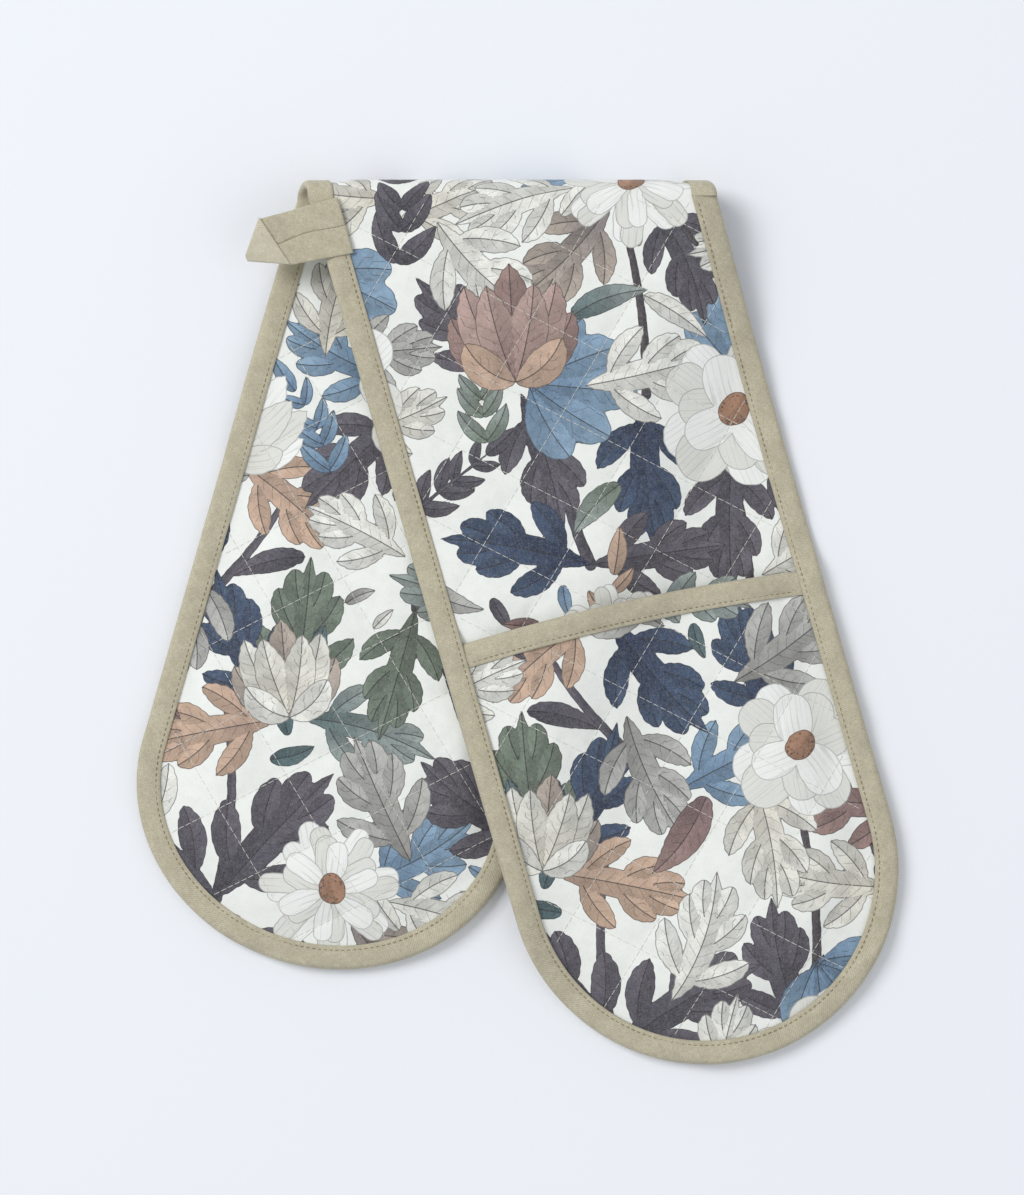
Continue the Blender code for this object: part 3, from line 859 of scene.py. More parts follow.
def flavour_shares(nodes, flavour):
    """Whether a stroke is veined, a petal or seeded, as 0 or 1 each."""
    veined = nodes.ramp(flavour, 0.7, 0.95)
    petal = nodes.math("MULTIPLY", nodes.ramp(flavour, 0.3, 0.45), nodes.ramp(flavour, 0.7, 0.55))
    seeded = nodes.math("MULTIPLY", nodes.ramp(flavour, 0.1, 0.2), nodes.ramp(flavour, 0.35, 0.3))
    return veined, petal, seeded


def leaf_veins(nodes, side, along, edge):
    """A midrib, and side veins that slant forwards from it and stop short of the outline."""
    off_spine = nodes.math("ABSOLUTE", side)
    midrib = nodes.ramp(off_spine, 0.34, 0.16)
    slant = nodes.math("MULTIPLY_ADD", off_spine, -0.85, along)
    turns = nodes.math("FRACT", nodes.math("MULTIPLY", slant, 1 / VEIN_SPACING))
    side_vein = nodes.ramp(nodes.math("ABSOLUTE", nodes.math("SUBTRACT", turns, 0.5)), 0.055, 0.02)
    side_vein = nodes.math("MULTIPLY", side_vein, nodes.ramp(edge, -0.6, -2.2, 0.0, 0.55))
    return nodes.math("MAXIMUM", midrib, side_vein)


def drawn_lines(nodes, cloth, stroke, edge, shares):
    """The dark lines of a stroke: its rim, and its veins, rays or seeds."""
    veined, petal, seeded = shares
    _, side, along = nodes.parts(stroke)
    veins = nodes.math("MULTIPLY", leaf_veins(nodes, side, along, edge), veined)
    rays = nodes.noise(nodes.scaled(stroke, (0.0, 1.6, 0.05)), 1.0, 0.0)
    rays = nodes.math("MULTIPLY", nodes.ramp(rays, 0.60, 0.72, 0.0, 0.22), petal)
    seeds = nodes.math("MULTIPLY", nodes.ramp(nodes.spots(cloth, 0.62), 0.40, 0.30, 0.0, 0.75), seeded)
    seeds = nodes.math("MULTIPLY", seeds, nodes.ramp(edge, -4.6, -1.2, 0.25, 1.0))
    rim = nodes.ramp(edge, -0.50, -0.30)
    rim = nodes.math("MULTIPLY", rim, nodes.ramp(petal, 0.0, 1.0, 0.8, 0.55))
    lines = nodes.math("MAXIMUM", nodes.math("MAXIMUM", veins, rays), seeds)
    return nodes.math("MAXIMUM", lines, rim)


def printed_cotton():
    """Off-white cotton with the layered print, grown darker along veins and outlines."""
    nodes = Nodes("printed_cotton", 0.88, 0.12)
    cloth = nodes.attribute("cloth")["Vector"]
    grain = weave(nodes, cloth, 0.42)
    wash = nodes.noise(cloth, 0.13, 3.0)
    fine_wash = nodes.noise(cloth, 0.9, 2.0)
    blotches = nodes.ramp(wash, 0.25, 0.75, 0.84, 1.14)
    specks = nodes.ramp(fine_wash, 0.2, 0.8, 0.92, 1.07)
    wobble = nodes.math("MULTIPLY_ADD", nodes.noise(cloth, 0.20, 1.0), 0.9, -0.45)
    colour = nodes.blend(nodes.ramp(wash, 0.35, 0.7), GROUND, tuple(0.955 * c for c in GROUND))
    for layer in range(PRINT_LAYERS):
        stroke = nodes.attribute(f"stroke{layer}")["Vector"]
        outline, side, along = nodes.parts(stroke)
        ink = nodes.attribute(f"ink{layer}")
        edge = nodes.math("ADD", outline, wobble)
        shares = flavour_shares(nodes, ink["Alpha"])
        petal = shares[1]
        half_tone = nodes.ramp(side, -0.6, 0.6, 0.86, 1.12)
        tone = nodes.math("MULTIPLY", nodes.math("MULTIPLY", half_tone, blotches), specks)
        tone = nodes.ramp(petal, 0.0, 1.0, tone, 1.0)
        shadow = nodes.math("MULTIPLY", petal, nodes.ramp(along, 14.0, 0.0, 0.0, 0.30))
        lines = drawn_lines(nodes, cloth, stroke, edge, shares)
        inked = nodes.blend(1.0, ink["Color"], tone, "MULTIPLY")
        inked = nodes.blend(shadow, inked, PETAL_SHADOW)
        inked = nodes.blend(nodes.math("MULTIPLY", lines, 0.85), inked, OUTLINE)
        colour = nodes.blend(nodes.ramp(edge, 0.14, -0.14), colour, inked)
    faded = nodes.ramp(grain, 0.40, 0.72, 0.0, 0.15)
    colour = nodes.blend(faded, colour, FADED)
    colour = nodes.blend(1.0, colour, nodes.ramp(grain, 0.30, 0.55, 0.90, 1.0), "MULTIPLY")
    nodes.bump(grain, 0.35, 0.00018)
    return nodes.colour(colour)


def twill(name, base, light):
    """Tape with diagonal ribs; its cloth attribute runs along and across the tape."""
    nodes = Nodes(name, 0.9, 0.15)
    cloth = nodes.attribute("cloth")["Vector"]
    along, across, _ = nodes.parts(cloth)
    bend = nodes.math("MULTIPLY", nodes.noise(cloth, 0.35, 1.0), 0.9)
    slant = nodes.math("ADD", nodes.math("MULTIPLY_ADD", across, 0.8, along), bend)
    rib = nodes.math("SINE", nodes.math("MULTIPLY", slant, 2 * math.pi / TWILL_SPACING))
    rib = nodes.math("MULTIPLY_ADD", rib, 0.5, 0.5)
    grain = weave(nodes, cloth, 0.38)
    # painted shade: random darker patches that stand in for the shade of the tape's wrinkles
    wrinkle_shade = nodes.noise(cloth, 0.12, 3.0)
    colour = nodes.blend(nodes.ramp(grain, 0.30, 0.70), base, light)
    colour = nodes.blend(nodes.ramp(wrinkle_shade, 0.3, 0.75, 0.0, 0.35), colour, tuple(0.80 * c for c in base))
    colour = nodes.blend(1.0, colour, nodes.math("MULTIPLY_ADD", rib, 0.17, 0.86), "MULTIPLY")
    height = nodes.math("MULTIPLY_ADD", grain, 0.8, nodes.math("MULTIPLY", rib, 0.55))
    nodes.bump(height, 0.45, 0.00022)
    return nodes.colour(colour)


def plain_cloth(name, base, dark, thread):
    """Unprinted cloth, wadding or thread, with a weave that needs no attribute."""
    nodes = Nodes(name, 0.92, 0.1)
    place = nodes.tree.nodes.new("ShaderNodeTexCoord").outputs["Object"]
    cloth = nodes.scaled(place, (1000.0, 1000.0, 1000.0))
    grain = weave(nodes, cloth, thread)
    colour = nodes.blend(nodes.ramp(grain, 0.35, 0.65), dark, base)
    nodes.bump(grain, 0.4, 0.0002)
    return nodes.colour(colour)


COTTON = printed_cotton()
TWILL = twill("khaki_twill", srgb(178, 169, 145), srgb(206, 200, 176))
# painted light: a lighter copy of the khaki twill, so that the loop's folded corner reads as more brightly
# lit
TWILL_PAINTED_LIGHT = twill("khaki_twill_painted_light", srgb(192, 184, 160), srgb(216, 211, 190))
LINING = plain_cloth("lining", srgb(232, 233, 226), srgb(214, 215, 206), 0.45)
WADDING = plain_cloth("wadding", srgb(236, 233, 222), srgb(216, 212, 200), 1.2)
SEAM_THREAD = plain_cloth("seam_thread", srgb(152, 136, 106), srgb(116, 101, 76), 0.25)
QUILT_THREAD = plain_cloth("quilting_thread", srgb(232, 231, 224), srgb(208, 205, 196), 0.25)


# ---- tape ----

TAPE_ROLL = 0.0026          # how deep the tape's rounded fold is
TAPE_LIP = 0.00035          # how far its cut edges bulge
TAPE_OUTSIDE = 24           # points of a section on its outer face
THICKENING = 0.010          # the edge tape thickens over this length before the pocket's mouth
HEM_UNIT = 0.0042           # height that the hem tape's section is drawn at
HEM_INSET = 0.0040          # its ends lie this far inside the outline
HEM_COLUMNS = 120
TAPE_END_FADE = 0.010       # the edge tape's skin fades out at the fold


def tape_section(width, low, high):
    """Closed outline of a folded tape seen end on, as (distance from its fold, height) pairs."""
    middle = (low + high) / 2
    half = (high - low) / 2
    inner_low, inner_high = low + TAPE, high - TAPE
    turns = np.linspace(math.pi / 2, -math.pi / 2, 11)
    outer = [(share * width, high) for share in (1.0, 0.9, 0.8, 0.72, 0.64, 0.5, 0.38)]
    outer += [(TAPE_ROLL * (1 - math.cos(turn)), middle + half * math.sin(turn)) for turn in turns]
    outer += [(share * width, low) for share in (0.38, 0.55, 0.72, 0.88, 1.0)]
    inner = [(width, inner_low), (0.6 * width, inner_low)]
    inner += [(TAPE_ROLL - (TAPE_ROLL - TAPE) * math.cos(turn), middle + (half - TAPE) * math.sin(turn))
              for turn in turns[::-1]]
    inner += [(0.6 * width, inner_high), (width, inner_high)]
    low_lip = (width + TAPE_LIP, low + TAPE / 2)
    high_lip = (width + TAPE_LIP, high - TAPE / 2)
    return np.array([*outer, low_lip, *inner, high_lip])


def tape_skin(section, width, along, seed):
    """Crown, stitch groove and creases of the tape's outer face, as a height for each point."""
    distance = section[None, :, 0]
    share = distance / width
    crowned = 0.00050 * np.sin(math.pi * np.clip(share, 0.0, 1.0))
    groove = -0.00032 * np.exp(-((share - STITCH_LINE) * width / 0.0010) ** 2)
    pulls = lattice_noise(along[:, None] + 0.5 * distance, distance, 0.0052, seed) * 0.00022
    creases = lattice_noise(along[:, None] * 0.5 + distance, distance * 0.4, 0.0075, seed + 1) * 0.00080
    skin = crowned + groove + (pulls + creases) * np.clip(1.2 - share, 0.2, 1.0)
    return skin * (np.arange(len(section)) < TAPE_OUTSIDE)[None, :]


def pressed(half, upper):
    """Share of a tape's creases that is left where it lies on the table; upper marks its pocket side."""
    return np.where(upper == (half.side > 0), 1.0, 0.25)


def tape_piece(name, rings, along, around, material):
    """Skin a stack of closed outlines, and store the distances along and round the tape in mm."""
    rows, columns = rings.shape[:2]
    piece = add_object(name, rings, grid_faces(rows, columns, wrap=True), material)
    cloth = np.zeros((rows, columns, 3))
    cloth[..., 0] = along[:, None] * 1000
    cloth[..., 1] = around[None, :] * 1000
    add_attribute(piece, "cloth", "FLOAT_VECTOR", cloth)
    return piece


def walk(points):
    """Distance walked along a line of flat points, at each of them."""
    return np.concatenate([[0.0], np.cumsum(np.hypot(*np.diff(points, axis=0).T))])


def edge_stations(half, step):
    """(s or None, angle or None, side) all round a half's edge, from the fold back to the fold."""
    straight = [(s, None) for s in np.linspace(0.0, half.arc_start, int(half.arc_start / step))[:-1]]
    arc_steps = int(half.end_reach * 1.4 / step)
    arc = [(None, angle) for angle in np.linspace(0.0, math.pi / 2, arc_steps)]
    one_side = straight + arc
    return [(*place, -1) for place in one_side] + [(*place, 1) for place in one_side[-2::-1]]


def edge_point(half, station, inset):
    """Pattern point of an edge station at an inset from the outline."""
    straight, angle, side = station
    if angle is None:
        p = side * (RADIUS - inset)
        share = min(straight / LEVEL_ROW, 1.0)
        return straight + p * math.tan(TILT) * (1.0 - share), p
    reach = half.end_reach - inset
    return half.arc_start + reach * math.sin(angle), side * (RADIUS - inset) * math.cos(angle)


def pocket_share(half, s, p):
    """0 where the edge tape holds the strip alone, 1 where it also holds the pocket."""
    return smooth((s - half.mouth(p) + THICKENING) / THICKENING)


def edge_binding(half):
    """The tape folded over the strip's raw edges, thicker where it also holds the pocket."""
    stations = edge_stations(half, TAPE_STEP)
    plain = tape_section(BINDING_WIDTH, BINDING_LOW, BINDING_PLAIN_HIGH)
    full = tape_section(BINDING_WIDTH, BINDING_LOW, BINDING_POCKET_HIGH)
    pattern = np.array([[edge_point(half, station, inset) for inset in plain[:, 0]] for station in stations])
    s, p = pattern[..., 0], pattern[..., 1]
    along = walk(pattern[:, 0])
    share = pocket_share(half, s[:, :1], p[:, :1])
    t = mix(plain[None, :, 1], full[None, :, 1], share)
    middle = (BINDING_LOW + mix(BINDING_PLAIN_HIGH, BINDING_POCKET_HIGH, share)) / 2
    fade = np.clip(np.minimum(along, along[-1] - along) / TAPE_END_FADE, 0.0, 1.0)[:, None]
    skin = tape_skin(plain, BINDING_WIDTH, along, 31) * np.sign(t - middle) * fade * pressed(half, t > middle)
    return tape_piece(f"{half.name}_edge_tape", half.place(s, p, t + skin), along, walk(plain), TWILL)


def binding_top(half, s, p, level):
    """Height of the edge tape's face: level 1 is its pocket side, -1 its back."""
    if level < 0:
        return np.full_like(s, BINDING_LOW)
    return mix(BINDING_PLAIN_HIGH, BINDING_POCKET_HIGH, pocket_share(half, s, p))


def hem_tape(half):
    """The tape over the pocket's mouth; its ends run under the edge tape."""
    section = tape_section(HEM_WIDTH, 0.0, HEM_UNIT)
    height = section[None, :, 1]
    p_line = np.linspace(-1.0, 1.0, HEM_COLUMNS) * (RADIUS - HEM_INSET)
    s = half.mouth(p_line)[:, None] + section[None, :, 0]
    p = np.repeat(p_line[:, None], len(section), axis=1)
    share = crown(half.inset(s, p))
    low = mix(HEM_LOW[1], HEM_LOW[0], share)
    high = mix(HEM_HIGH[1], HEM_HIGH[0], share)
    t = low + (high - low) * (height / HEM_UNIT)
    along = (p_line - p_line[0]) / math.cos(math.atan(half.skew))
    upper = height > HEM_UNIT / 2
    skin = tape_skin(section, HEM_WIDTH, along, 57) * np.where(upper, 1.0, -0.4) * pressed(half, upper)
    rings = half.place(s, p, t + skin)
    return tape_piece(f"{half.name}_hem_tape", rings, along, walk(section), TWILL)


# ---- the bend ----

def bend_place(across, t, turn):
    """A point of the bend: turn runs from 1 at the front half to -1 at the rear half."""
    angle = turn * math.pi / 2
    x = across + HALF_SHIFT * np.sin(angle) + FOLD_X
    y = (BEND_REACH + t) * np.cos(angle) + FOLD_Y
    return np.stack([x, y, FOLD_Z + (FOLD_RISE + t) * np.sin(angle)], axis=-1)


def bend_turns():
    """The rows of every piece of the bend."""
    return np.linspace(1.0, -1.0, BEND_ROWS)


def across_fold(piece):
    """Bake the placement of a piece of the bend into its mesh."""
    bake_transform(piece)


def bend_sheet(name, heights, cell, origin):
    """One cover where the strip turns over the fold."""
    columns = int(round(2 * (RADIUS - COVER_INSET) / cell)) + 1
    p = np.linspace(-1.0, 1.0, columns) * (RADIUS - COVER_INSET)
    t = mix(heights[1], heights[0], body(RADIUS - np.abs(p)))[None, :]
    turns = bend_turns()[:, None]
    points = bend_place((p / math.cos(TILT))[None, :], t, turns)
    piece = add_object(name, points, grid_faces(*points.shape[:2], flip=True), COTTON)
    walked = (1.0 - turns) * math.pi / 4 * (FOLD_RISE + BEND_REACH + 2 * t)
    v = (walked - fold_row(p)[None, :]) * 1000 + origin[1]
    u = np.broadcast_to(p * 1000 + origin[0], v.shape)
    draw_print(piece, u, v)
    return piece


def bend_tape(name, side):
    """The edge tape where it turns over the fold, at one side of the strip."""
    section = tape_section(BINDING_WIDTH, BINDING_LOW, BINDING_PLAIN_HIGH)
    turns = bend_turns()
    across = side * (RADIUS - section[:, 0]) / math.cos(TILT)
    rings = bend_place(across[None, :], section[None, :, 1], turns[:, None])
    along = (1.0 - turns) * math.pi / 2 * (FOLD_RISE + BEND_REACH) / 2
    return tape_piece(name, rings, along, walk(section), TWILL)


def bend_wadding(name):
    """The wadding where the strip turns over the fold."""
    p = np.linspace(-1.0, 1.0, WADDING_COLUMNS) * (RADIUS - WADDING_INSET)
    thick = body(RADIUS - np.abs(p))
    across = (p / math.cos(TILT))[None, :]
    turns = bend_turns()[:, None]
    low = mix(BACK_T[1], BACK_T[0], thick) + WADDING_GAP
    high = mix(FACE_T[1], FACE_T[0], thick) - WADDING_GAP
    inside = bend_place(across, low[None, :], turns)
    outside = bend_place(across, high[None, :], turns)
    return add_object(name, *closed_slab(inside, outside), WADDING)


# ---- stitches ----

def stitches(name, starts, ends, ups, radius, material):
    """Short rounded threads from start to end, six-sided, which dip into the cloth at both ends."""
    sides = 6
    shares = np.array([0.0, 0.12, 0.5, 0.88, 1.0])
    lifts = np.array([-0.9, 0.25, 0.55, 0.25, -0.9]) * radius
    widths = np.array([0.35, 0.9, 1.0, 0.9, 0.35]) * radius
    starts = np.asarray(starts)
    along = np.asarray(ends) - starts
    ups = np.asarray(ups)
    length = np.linalg.norm(along, axis=1, keepdims=True)
    across = np.cross(along / length, ups)
    angle = np.arange(sides) * 2 * math.pi / sides
    ring = (np.cos(angle)[None, None, :, None] * across[:, None, None, :]
            + np.sin(angle)[None, None, :, None] * ups[:, None, None, :])
    core = (starts[:, None, :] + along[:, None, :] * shares[None, :, None]
            + ups[:, None, :] * lifts[None, :, None])
    points = core[:, :, None, :] + ring * widths[None, :, None, None]
    count = len(shares) * sides
    first_of_each = (np.arange(len(starts)) * count)[:, None, None]
    last = count - sides
    tube = grid_faces(len(shares), sides, wrap=True)
    cap = np.array([(0, 3, 2, 1), (0, 5, 4, 3), (last, last + 1, last + 2, last + 3),
                    (last, last + 3, last + 4, last + 5)])
    faces = [(part[None, :, :] + first_of_each).reshape(-1, 4) for part in (tube, cap)]
    return add_object(name, points, np.concatenate(faces), material)


def surface_ups(surface, s, p):
    """Outward normals of a cover at pattern points."""
    step = 0.0006
    ds = surface(s + step, p) - surface(s - step, p)
    dp = surface(s, p + step) - surface(s, p - step)
    up = np.cross(ds, dp)
    up /= np.linalg.norm(up, axis=1, keepdims=True)
    return up * np.sign(up[:, 2:3]) * surface.half.side * surface.outward


def quilting(name, surface, first_row):
    """Running stitches along the quilting lines of one cover."""
    half = surface.half
    reach = half.length * 1.5
    starts, ends = [], []
    for sign, phase in ((1.0, surface.phase[0]), (-1.0, surface.phase[1])):
        normal = np.array([-math.sin(QUILT_ANGLE), sign * math.cos(QUILT_ANGLE)])
        direction = np.array([normal[1], -normal[0]])
        for line in range(-QUILT_LINES, QUILT_LINES + 1):
            foot = normal * (line - phase) * QUILT_SPACING
            first = np.arange(-reach, reach, STITCH_LENGTH + STITCH_GAP) + STITCH_STAGGER * (line % 5)
            starts.append(foot + first[:, None] * direction)
            ends.append(foot + (first + STITCH_LENGTH)[:, None] * direction)
    starts = np.concatenate(starts)
    ends = np.concatenate(ends)
    s, p = ((starts + ends) / 2).T
    past = s - first_row(p)
    kept = (half.inset(s, p) > BINDING_WIDTH + 0.0012) & (past > 0.002) & (s < half.length)
    lift = QUILT_THREAD_RADIUS * 0.5
    return stitches(name, surface(*starts[kept].T, lift), surface(*ends[kept].T, lift),
                    surface_ups(surface, s[kept], p[kept]), QUILT_THREAD_RADIUS, QUILT_THREAD)


def edge_stitching(half, level):
    """The line of stitches that holds the edge tape, on its pocket side or its back."""
    inset = BINDING_WIDTH * STITCH_LINE
    line = np.array([edge_point(half, station, inset) for station in edge_stations(half, SEAM_STEP)])
    walked = walk(line)
    begin = np.arange(SEAM_END, walked[-1] - SEAM_END, SEAM_PITCH)

    def on_tape(distance):
        s = np.interp(distance, walked, line[:, 0])
        p = np.interp(distance, walked, line[:, 1])
        return half.place(s, p, binding_top(half, s, p, level) + level * SEAM_LIFT)

    ups = np.tile((0.0, 0.0, float(level * half.side)), (len(begin), 1))
    name = f"{half.name}_{'face' if level > 0 else 'back'}_seam_stitches"
    return stitches(name, on_tape(begin), on_tape(begin + SEAM_PITCH - SEAM_GAP), ups,
                    SEAM_THREAD_RADIUS, SEAM_THREAD)


def hem_stitching(half):
    """The line of stitches along the pocket's hem tape."""
    begin = np.arange(-RADIUS + 0.0135, RADIUS - 0.0165, SEAM_PITCH)

    def on_tape(p):
        s = half.mouth(p) + HEM_WIDTH * STITCH_LINE
        share = crown(half.inset(s, p))
        return half.place(s, p, mix(HEM_HIGH[1], HEM_HIGH[0], share) + SEAM_LIFT)

    ups = np.tile((0.0, 0.0, float(half.side)), (len(begin), 1))
    return stitches(f"{half.name}_hem_stitches", on_tape(begin), on_tape(begin + SEAM_PITCH - SEAM_GAP), ups,
                    SEAM_THREAD_RADIUS, SEAM_THREAD)


# ---- hanging loop ----
LOOP_SEAM_S = -0.0080       # the line between its two runs
LOOP_HALF_SLIT = 0.00004
LOOP_RUN = 0.0132           # width of a run
LOOP_TAB_END = -0.0770      # p of its stitched-down ends
LOOP_EDGE = -0.0903         # p where it leaves the strip, and swings
LOOP_HINGE_REACH = 0.0030
LOOP_OVERHANG = 0.034
LOOP_LOW = 0.00510
LOOP_TAPE = 0.0010
LOOP_SEAM_END = -0.1122     # p where the runs meet the corner
LOOP_ROWS, LOOP_COLUMNS = 36, 18
LOOP_TIP = ((-0.0224, -0.1139), (-0.0074, -0.1249), (-0.0046, -0.1246), (0.0023, -0.1062))
LOOP_DROOP = 0.0016


def loop_place(half, s, p, t):
    """The loop sags a little past the strip's edge."""
    beyond = np.maximum(0.0, LOOP_EDGE - p) / LOOP_OVERHANG
    return half.place(s, p, t - LOOP_DROOP * beyond ** 2)


def loop_ribbon(name, half, corners, low, material, seed, bow=0.0, dip=0.0):
    """A flat folded tape over a patch with (s, p) corners: start left and right, end left and right.

    A positive bow curves its right edge and a negative one its left edge; the dip lowers the part
    that hangs free.
    """
    left_start, right_start, left_end, right_end = np.array(corners)
    run = np.linspace(0.0, 1.0, LOOP_ROWS)[:, None]
    share = (1.0 - np.cos(np.linspace(0.0, math.pi, LOOP_COLUMNS))) / 2
    around = np.concatenate([share, share[-2:0:-1]])[None, :]
    s, p = [mix(mix(left_start[k], right_start[k], around), mix(left_end[k], right_end[k], around), run)
            for k in (0, 1)]
    s = s - abs(bow) * np.sin(math.pi * smooth(run)) * (around if bow > 0 else 1.0 - around)
    edge = np.sqrt(np.clip(4.0 * around * (1.0 - around), 0.0, 1.0))
    thick = LOOP_TAPE / 2 * np.clip(edge * 2.2, 0.15, 1.0)
    upper = (np.arange(around.shape[1]) < LOOP_COLUMNS)[None, :]
    waves = lattice_noise(s, p, 0.006, seed) * 0.00022
    t = low + LOOP_TAPE / 2 + np.where(upper, thick, -thick) + waves
    t = t - dip * np.sin(math.pi * np.clip((run - 0.4) / 0.6, 0.0, 1.0)) ** 2
    length = math.hypot(*(left_end - left_start))
    width = math.hypot(*(right_start - left_start))
    rings = loop_place(half, s, p, t)
    piece = tape_piece(name, rings, run[:, 0] * length, around[0] * width, material)
    close_ends(piece.data, LOOP_ROWS, around.shape[1])
    return piece


def close_ends(mesh, rows, columns):
    """Cap both ends of a stack of rings."""
    work = bmesh.new()
    work.from_mesh(mesh)
    work.verts.ensure_lookup_table()
    for start in (0, (rows - 1) * columns):
        ring = [work.verts[start + k] for k in range(columns)]
        work.faces.new(ring if start else ring[::-1])
    work.to_mesh(mesh)
    work.free()


def loop_point(half, p):
    """The world point between the loop's two runs at a place along them."""
    return Vector(half.place(np.array(LOOP_SEAM_S), np.array(p), np.array(LOOP_LOW)))


def hanging_loop(half):
    """Two runs of tape side by side, and the corner where the tape is folded back at the tip."""
    near = LOOP_SEAM_S - LOOP_HALF_SLIT
    far = LOOP_SEAM_S + LOOP_HALF_SLIT
    tip = LOOP_TIP
    near_corners = ((near - LOOP_RUN, LOOP_TAB_END), (near, LOOP_TAB_END),
                    (tip[0][0] + 0.0008, tip[0][1]), (near, LOOP_SEAM_END))
    far_corners = ((far, LOOP_TAB_END), (far + LOOP_RUN, LOOP_TAB_END),
                   (far, LOOP_SEAM_END), (tip[3][0] + 0.0002, tip[3][1] - 0.0010))
    runs = (
        ("loop_near_run", "hanging_loop_end_near_fold", near_corners, 71, 0.0014, 0.0016),
        ("loop_far_run", "hanging_loop_end_far", far_corners, 72, -0.0014, 0.0),
    )
    start = loop_point(half, LOOP_EDGE + LOOP_HINGE_REACH)
    end = loop_point(half, LOOP_EDGE - LOOP_HINGE_REACH)
    for name, node, corners, seed, bow, dip in runs:
        piece = loop_ribbon(name, half, corners, LOOP_LOW, TWILL, seed, bow, dip)
        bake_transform(piece)
        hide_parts(node)
    layers = (
        ("loop_corner_underside", LOOP_LOW, TWILL),
        # the folded corner takes the lighter copy of the twill, which is painted light
        ("loop_folded_corner", LOOP_LOW + LOOP_TAPE, TWILL_PAINTED_LIGHT),
    )
    for name, low, material in layers:
        corner = loop_ribbon(name, half, (tip[0], tip[3], tip[1], tip[2]), low, material, 77)
        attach(corner, "hanging_loop")
        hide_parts("hanging_loop")


# ---- putting the glove together ----

FRONT = Half("front", 0.412, 0.0905, 1, 0.065, -0.0046)
REAR = Half("rear", 0.366, 0.081, -1, 0.0, 0.0)

def finish_piece(piece, body_name, node):
    """Let a piece ride on a body in place of a CAD node."""
    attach(piece, body_name)
    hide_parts(node)


def mouth_row(half, offset):
    """The row at an offset from the pocket's mouth."""
    return lambda p: half.mouth(p) + offset


def dress_half(half, origins, cells, phases):
    """All the pieces of one half."""
    name = half.name
    back = Cover(half, BACK_T, QUILT_DEPTH, phases[0], -1.0)
    face = Cover(half, FACE_T, QUILT_DEPTH, phases[0], 1.0)
    lining = Cover(half, LINING_T, LINING_QUILT_DEPTH, phases[1], -1.0, LINING_MOUTH_T)
    outer = Cover(half, COVER_T, POCKET_QUILT_DEPTH, phases[1], 1.0, COVER_MOUTH_T)
    pocket_row = mouth_row(half, POCKET_OVERLAP)
    covers = (
        ("back_cover", back, fold_row, COTTON, "printed_cotton"),
        ("face_cover", face, fold_row, COTTON, "printed_cotton"),
        ("pocket_cover", outer, pocket_row, COTTON, "printed_cotton"),
        ("pocket_lining", lining, pocket_row, LINING, "lining"),
    )
    for node, surface, first_row, material, slot in covers:
        origin = origins.get(node)
        piece = sheet_piece(f"{name}_{node}_cloth", surface, first_row, cells[node], material, origin)
        finish_piece(piece, half.body, f"{name}_{node}")
    pads = (("wadding", back, face, pad_row), ("pocket_wadding", lining, outer, pocket_row))
    for node, lower, upper, first_row in pads:
        pad = wadding_piece(f"{name}_{node}_pad", lower, upper, first_row, WADDING)
        finish_piece(pad, half.body, f"{name}_{node}")
    for piece, node, slot in (
        (edge_binding(half), "edge_binding", "khaki_twill"),
        (hem_tape(half), "pocket_hem", "khaki_twill"),
        (hem_stitching(half), "hem_thread", "thread"),
        (edge_stitching(half, 1), "face_thread", "thread"),
        (edge_stitching(half, -1), "back_thread", "thread"),
    ):
        finish_piece(piece, half.body, f"{name}_{node}")
    seams = (("back", back, fold_row), ("face", face, fold_row),
             ("pocket", outer, mouth_row(half, HEM_WIDTH + 0.0005)))
    for part, surface, first_row in seams:
        piece = quilting(f"{name}_{part}_quilting", surface, first_row)
        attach(piece, half.body)


def dress_fold(origins):
    """The pieces that turn over the fold."""
    back = bend_sheet("fold_back_cover_cloth", BACK_T, MEDIUM, origins["back"])
    face = bend_sheet("fold_face_cover_cloth", FACE_T, FINE, origins["face"])
    tape_middle = (BINDING_LOW + BINDING_PLAIN_HIGH) / 2
    pieces = (
        (back, "fold_back_cover", "printed_cotton", BACK_T[0]),
        (face, "fold_face_cover", "printed_cotton", FACE_T[1]),
        (bend_wadding("fold_wadding_pad"), "fold_wadding", "wadding", FACE_T[1]),
        (bend_tape("fold_left_tape", -1), "fold_left_binding", "khaki_twill", tape_middle),
        (bend_tape("fold_right_tape", 1), "fold_right_binding", "khaki_twill", tape_middle),
    )
    for piece, node, slot, height in pieces:
        across_fold(piece)
        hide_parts(node)


# ---- room ----

TABLE_Z = -0.0004
TABLE_COLOUR = (0.862, 0.882, 0.922, 1.0)
ROOM_COLOUR = (0.94, 0.965, 1.0, 1.0)
ROOM_STRENGTH = 0.54
# name, place, power and size of each lamp
LAMPS = (("key", (-2.6, 1.65, 3.5), 121.0, 2.1), ("fill", (1.2, -0.6, 1.8), 6.1, 2.0))
FRAME_HEIGHT = 0.5497
CAMERA_DISTANCE = 1.7
CAMERA_PLACE = (-0.0027, 0.0119)


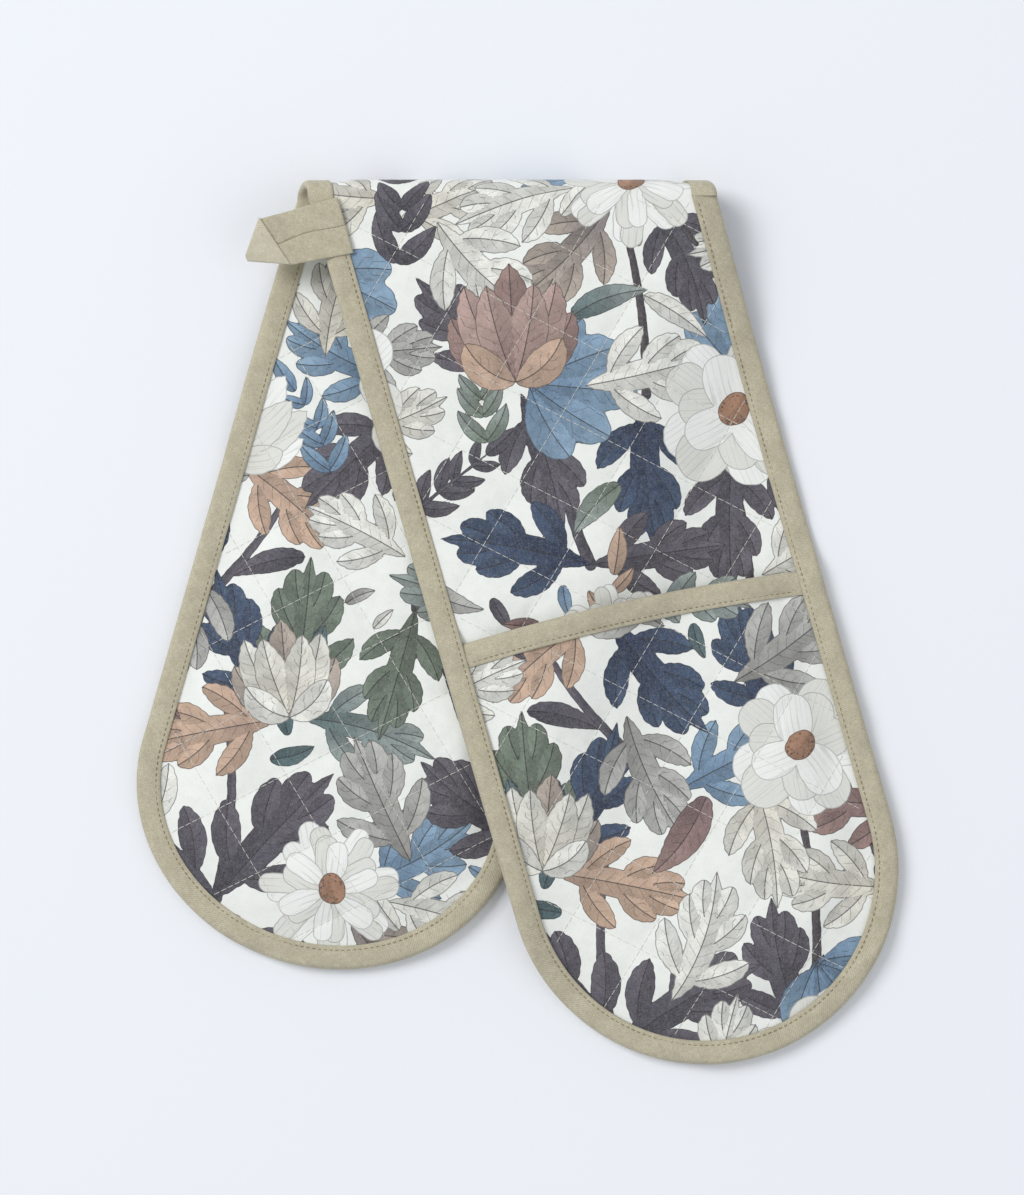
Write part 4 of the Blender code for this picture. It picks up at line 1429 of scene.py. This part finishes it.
def make_table():
    """A pale matt table under the glove."""
    bpy.ops.mesh.primitive_plane_add(size=8.0, location=(0.0, 0.0, TABLE_Z))
    table = bpy.context.object
    table.name = "table_top"
    paper = bpy.data.materials.new("table_paper")
    paper.use_nodes = True
    shader = paper.node_tree.nodes["Principled BSDF"]
    shader.inputs["Base Color"].default_value = TABLE_COLOUR
    shader.inputs["Roughness"].default_value = 0.9
    table.data.materials.append(paper)


def make_light():
    """A soft bright room, one broad key lamp from the left and a weak fill."""
    world = bpy.data.worlds.new("soft_room")
    world.use_nodes = True
    background = world.node_tree.nodes.get("Background") or world.node_tree.nodes.new("ShaderNodeBackground")
    background.inputs["Color"].default_value = ROOM_COLOUR
    background.inputs["Strength"].default_value = ROOM_STRENGTH
    bpy.context.scene.world = world
    for name, place, power, size in LAMPS:
        data = bpy.data.lights.new(name, "AREA")
        data.energy = power
        data.size = size
        lamp = bpy.data.objects.new(name, data)
        lamp.location = place
        lamp.rotation_euler = (-Vector(place)).to_track_quat("-Z", "Y").to_euler()
        bpy.context.scene.collection.objects.link(lamp)
    bpy.context.scene.view_settings.view_transform = "Standard"


def make_camera():
    """Straight down, framed as wide as the view of the whole glove needs."""
    data = bpy.data.cameras.new("camera")
    data.lens = data.sensor_width * CAMERA_DISTANCE / FRAME_HEIGHT
    camera = bpy.data.objects.new("camera", data)
    camera.location = (*CAMERA_PLACE, CAMERA_DISTANCE + FOLD_Z)
    bpy.context.scene.collection.objects.link(camera)
    bpy.context.scene.camera = camera


make_table()
make_light()
make_camera()
FRONT_ORIGINS = {"face_cover": (168, 328), "back_cover": (40, 90), "pocket_cover": (34, 345)}
REAR_ORIGINS = {"face_cover": (150, 60), "back_cover": (235, 300), "pocket_cover": (20, 250)}
FRONT_CELLS = {"face_cover": FINE, "back_cover": MEDIUM, "pocket_cover": FINE, "pocket_lining": COARSE}
REAR_CELLS = {"face_cover": MEDIUM, "back_cover": FINE, "pocket_cover": MEDIUM, "pocket_lining": COARSE}
dress_half(FRONT, FRONT_ORIGINS, FRONT_CELLS, ((0.30, 0.05), (0.15, 0.62)))
dress_half(REAR, REAR_ORIGINS, REAR_CELLS, ((0.55, 0.40), (0.20, 0.80)))
dress_fold({"face": FRONT_ORIGINS["face_cover"], "back": REAR_ORIGINS["back_cover"]})
hanging_loop(FRONT)
